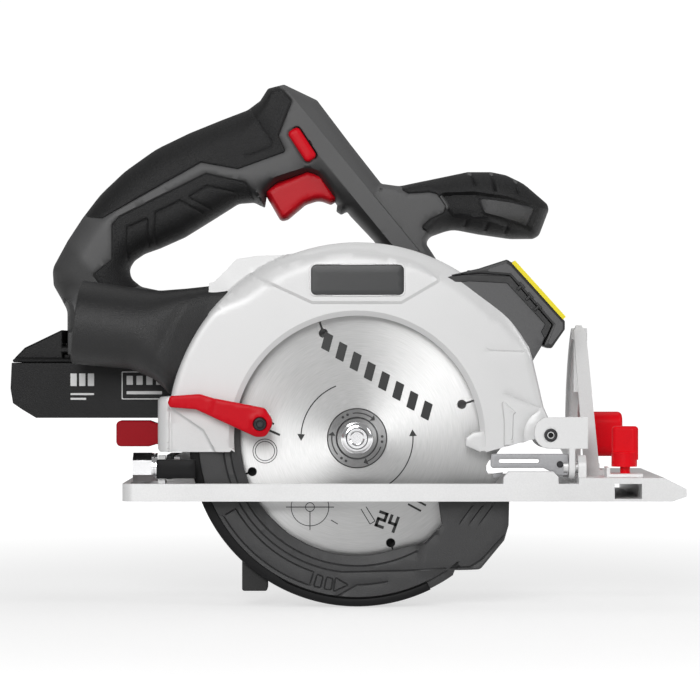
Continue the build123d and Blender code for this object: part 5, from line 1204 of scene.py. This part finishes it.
def make_window_stop():
    """Stop tab at the front foot of the guard's window."""
    tab = rounded([(53.6, 30.9), (53.6, 26.9), (60.2, 24), (66, 24), (63, 34.5), (57.5, 33.8)],
                  [0.6, 0.6, 1, 1, 1, 0.8])
    build("window_stop", *relief([tab], raised_face(GUARD_NEAR + 1.0, -0.9, 0.9),
                                 level_face(GUARD_NEAR + 3.0), step=2.0, rings=(0.3, 0.8)),
          SILVER_PAINT, "saw_head", slot="silver_paint")


def make_guard_lever():
    """Red lift lever of the lower guard: a cranked bar with rounded edges and a raised ring round its screw."""
    outline = rounded([(-93.3, 48.5), (-92.3, 51.8), (-77.5, 52.8), (-71.1, 50.8), (-45.4, 45.9), (-41, 39),
                       (-44.9, 31.6), (-49.9, 31.6), (-79.5, 45.2), (-92.3, 46.2)],
                      [1, 1.6, 3, 3, 3.5, 5, 4, 4, 4, 1.6])
    near_y, far_y = -23.5, -20.2
    kink = np.array([(-75.5, 54), (-78.5, 43)])
    kink_two = np.array([(-68.5, 52.5), (-71.5, 40)])

    def near(points, depth):
        x = points[:, 0]
        step_back = 1.1 * ease(-(x + 69.0 + (points[:, 1] - 47) * -0.3), 5.0)
        ring = 0.8 * ease(5.0 - np.hypot(x + 47.9, points[:, 1] - 38), 0.8)
        return near_y + step_back + 1.0 * (1 - shoulder(depth, 1.0)) - ring

    hole = arc((-47.9, 38.0), 3.25, 0, 360, 32)[:-1]
    shape = relief([outline, hole], near, level_face(far_y), step=1.8, rings=(0.25, 0.7),
                   lines=[(kink, False, (-1, 0, 1)), (kink_two, False, (-1, 0, 1))])
    hub = lathe([(5.0, far_y), (5.0, -11.4), (3.25, -11.4), (3.25, far_y), (5.0, far_y)], (-47.9, 38.0), 40)
    build("guard_lever_bar", *joined(shape, hub), RED, "lower_guard", ("guard_lever",), "red_plastic", closed=True)


def make_soft_edges():
    """CAD pieces whose shape is right, with rounded edges."""
    for node, finish, width, slot in (
            ("base_plate", CAST_LIGHT, 0.7, "cast_light"), ("bevel_quadrant", QUADRANT_CAST_PAINTED_SHADE, 0.5, "cast_light"),
            ("front_bracket", BRACKET_WHITE, 0.35, "bracket_white"), ("bevel_knob", KNOB_RED, 1.0, "red_plastic"),
            ("fence_knob", KNOB_RED, 0.5, "red_plastic"), ("depth_lever", DARK_RED, 0.8, "dark_red_plastic"),
            ("fence_clamp_plate", BRACKET_WHITE, 0.25, "bracket_white"), ("rear_tilt_nut", CHROME, 0.35, "chrome"),
            ("strut_foot", BLACK_STEEL, 0.4, "black_steel"),
            ("battery_case", BATTERY_BLACK, 1.8, "black_plastic"), ("battery_lid", BATTERY_BLACK, 1.2, "black_plastic"),
            ("gear_housing", CAST_GREY, 0.5, "cast_grey"), ("gear_cover", CAST_GREY, 0.8, "cast_grey"),
            ("battery_latch", RED, 0.5, "black_plastic"), ("spindle_lock_button", BLACK_PLASTIC, 0.6, "black_plastic"),
            ("laser_switch", BLACK_PLASTIC, 0.4, "black_plastic")):
        softened(node, finish, width)


# ---------------------------------------------------------------- room, light and camera
def make_camera():
    """Level camera looking along +Y at the blade's plane."""
    lens = bpy.data.cameras.new("view")
    camera = bpy.data.objects.new("view", lens)
    bpy.context.scene.collection.objects.link(camera)
    camera.location = (-3.5 * MM, -1.5, 74.5 * MM)
    camera.rotation_euler = (radians(90), 0, 0)
    lens.sensor_width = 36.0
    lens.lens = 36.0 * 1500.0 / 350.0
    bpy.context.scene.camera = camera


def area_light(name, place, aim, size, power):
    """A soft square light at a place, turned towards a point."""
    data = bpy.data.lights.new(name, "AREA")
    data.energy = power
    data.size = size
    lamp = bpy.data.objects.new(name, data)
    lamp.location = place
    lamp.rotation_euler = (Vector(aim) - Vector(place)).to_track_quat("-Z", "Y").to_euler()
    bpy.context.scene.collection.objects.link(lamp)


def make_room():
    """White floor that the guard's lowest point rests on, a pale surround and soft lights."""
    size = 8.0
    floor_z = CAD_BOX[0][2] - 0.0008
    mesh = bpy.data.meshes.new("floor")
    mesh.from_pydata([(-size, -size, floor_z), (size, -size, floor_z), (size, size, floor_z), (-size, size, floor_z)],
                     [], [(0, 1, 2, 3)])
    floor = bpy.data.objects.new("floor", mesh)
    bpy.context.scene.collection.objects.link(floor)
    pale = material("pale_floor", (0.42, 0.42, 0.42), 0.9, grain=40, bump=0.0, mottle=0.01)
    place = add_node(pale, "TexCoord")
    away = add_node(pale, "VectorMath", {"operation": "LENGTH"}, None, {0: place.outputs["Object"]})
    lift = add_node(pale, "MapRange", {"interpolation_type": "SMOOTHSTEP"},
                    {"From Min": 0.15, "From Max": 1.1, "To Min": 0.62, "To Max": 1.0},
                    {"Value": away.outputs["Value"]})
    shader = pale.node_tree.nodes["Principled BSDF"]
    pale.node_tree.links.new(lift.outputs["Result"], shader.inputs["Emission Strength"])
    shader.inputs["Emission Color"].default_value = (1, 1, 1, 1)
    mesh.materials.append(pale)
    floor.visible_diffuse = False
    bpy.ops.mesh.primitive_uv_sphere_add(segments=48, ring_count=24, radius=size * 0.9)
    surround = bpy.context.object
    surround.name = "surround"
    glow = bpy.data.materials.new("surround_white")
    glow.use_nodes = True
    shader = glow.node_tree.nodes["Principled BSDF"]
    shader.inputs["Base Color"].default_value = (0, 0, 0, 1)
    shader.inputs["Emission Color"].default_value = (1, 1, 1, 1)
    shader.inputs["Emission Strength"].default_value = 1.0
    surround.data.materials.append(glow)
    surround.visible_diffuse = surround.visible_glossy = surround.visible_shadow = False
    surround.visible_transmission = surround.visible_volume_scatter = False
    world = bpy.data.worlds.new("studio")
    bpy.context.scene.world = world
    world.use_nodes = True
    world.node_tree.nodes["Background"].inputs["Color"].default_value = (1, 1, 1, 1)
    world.node_tree.nodes["Background"].inputs["Strength"].default_value = 0.30
    area_light("key", (-0.25, -1.3, 0.55), (0, 0, 0.06), 0.6, 10.0)
    area_light("right", (1.0, -0.6, 0.6), (0, 0, 0.06), 0.5, 3.0)
    area_light("top", (0.0, 0.3, 1.1), (0, 0.03, 0.08), 0.8, 1.5)
    view = bpy.context.scene.view_settings
    view.view_transform = "Standard"
    view.look = "None"


make_camera()
make_room()
dress_cad_nodes()
make_casing()
make_upper_grip()
make_lower_grip()
make_front_grip()
make_trigger()
make_lock_off()
make_upper_guard()
make_badge()
make_window_stop()
make_lower_guard()
make_dust_port()
make_laser()
make_blade_marks()
make_flange()
make_guard_lever()
make_screws()
make_front_link()
make_guard_foot_stop()
make_rear_block()
make_battery_marks()
make_soft_edges()
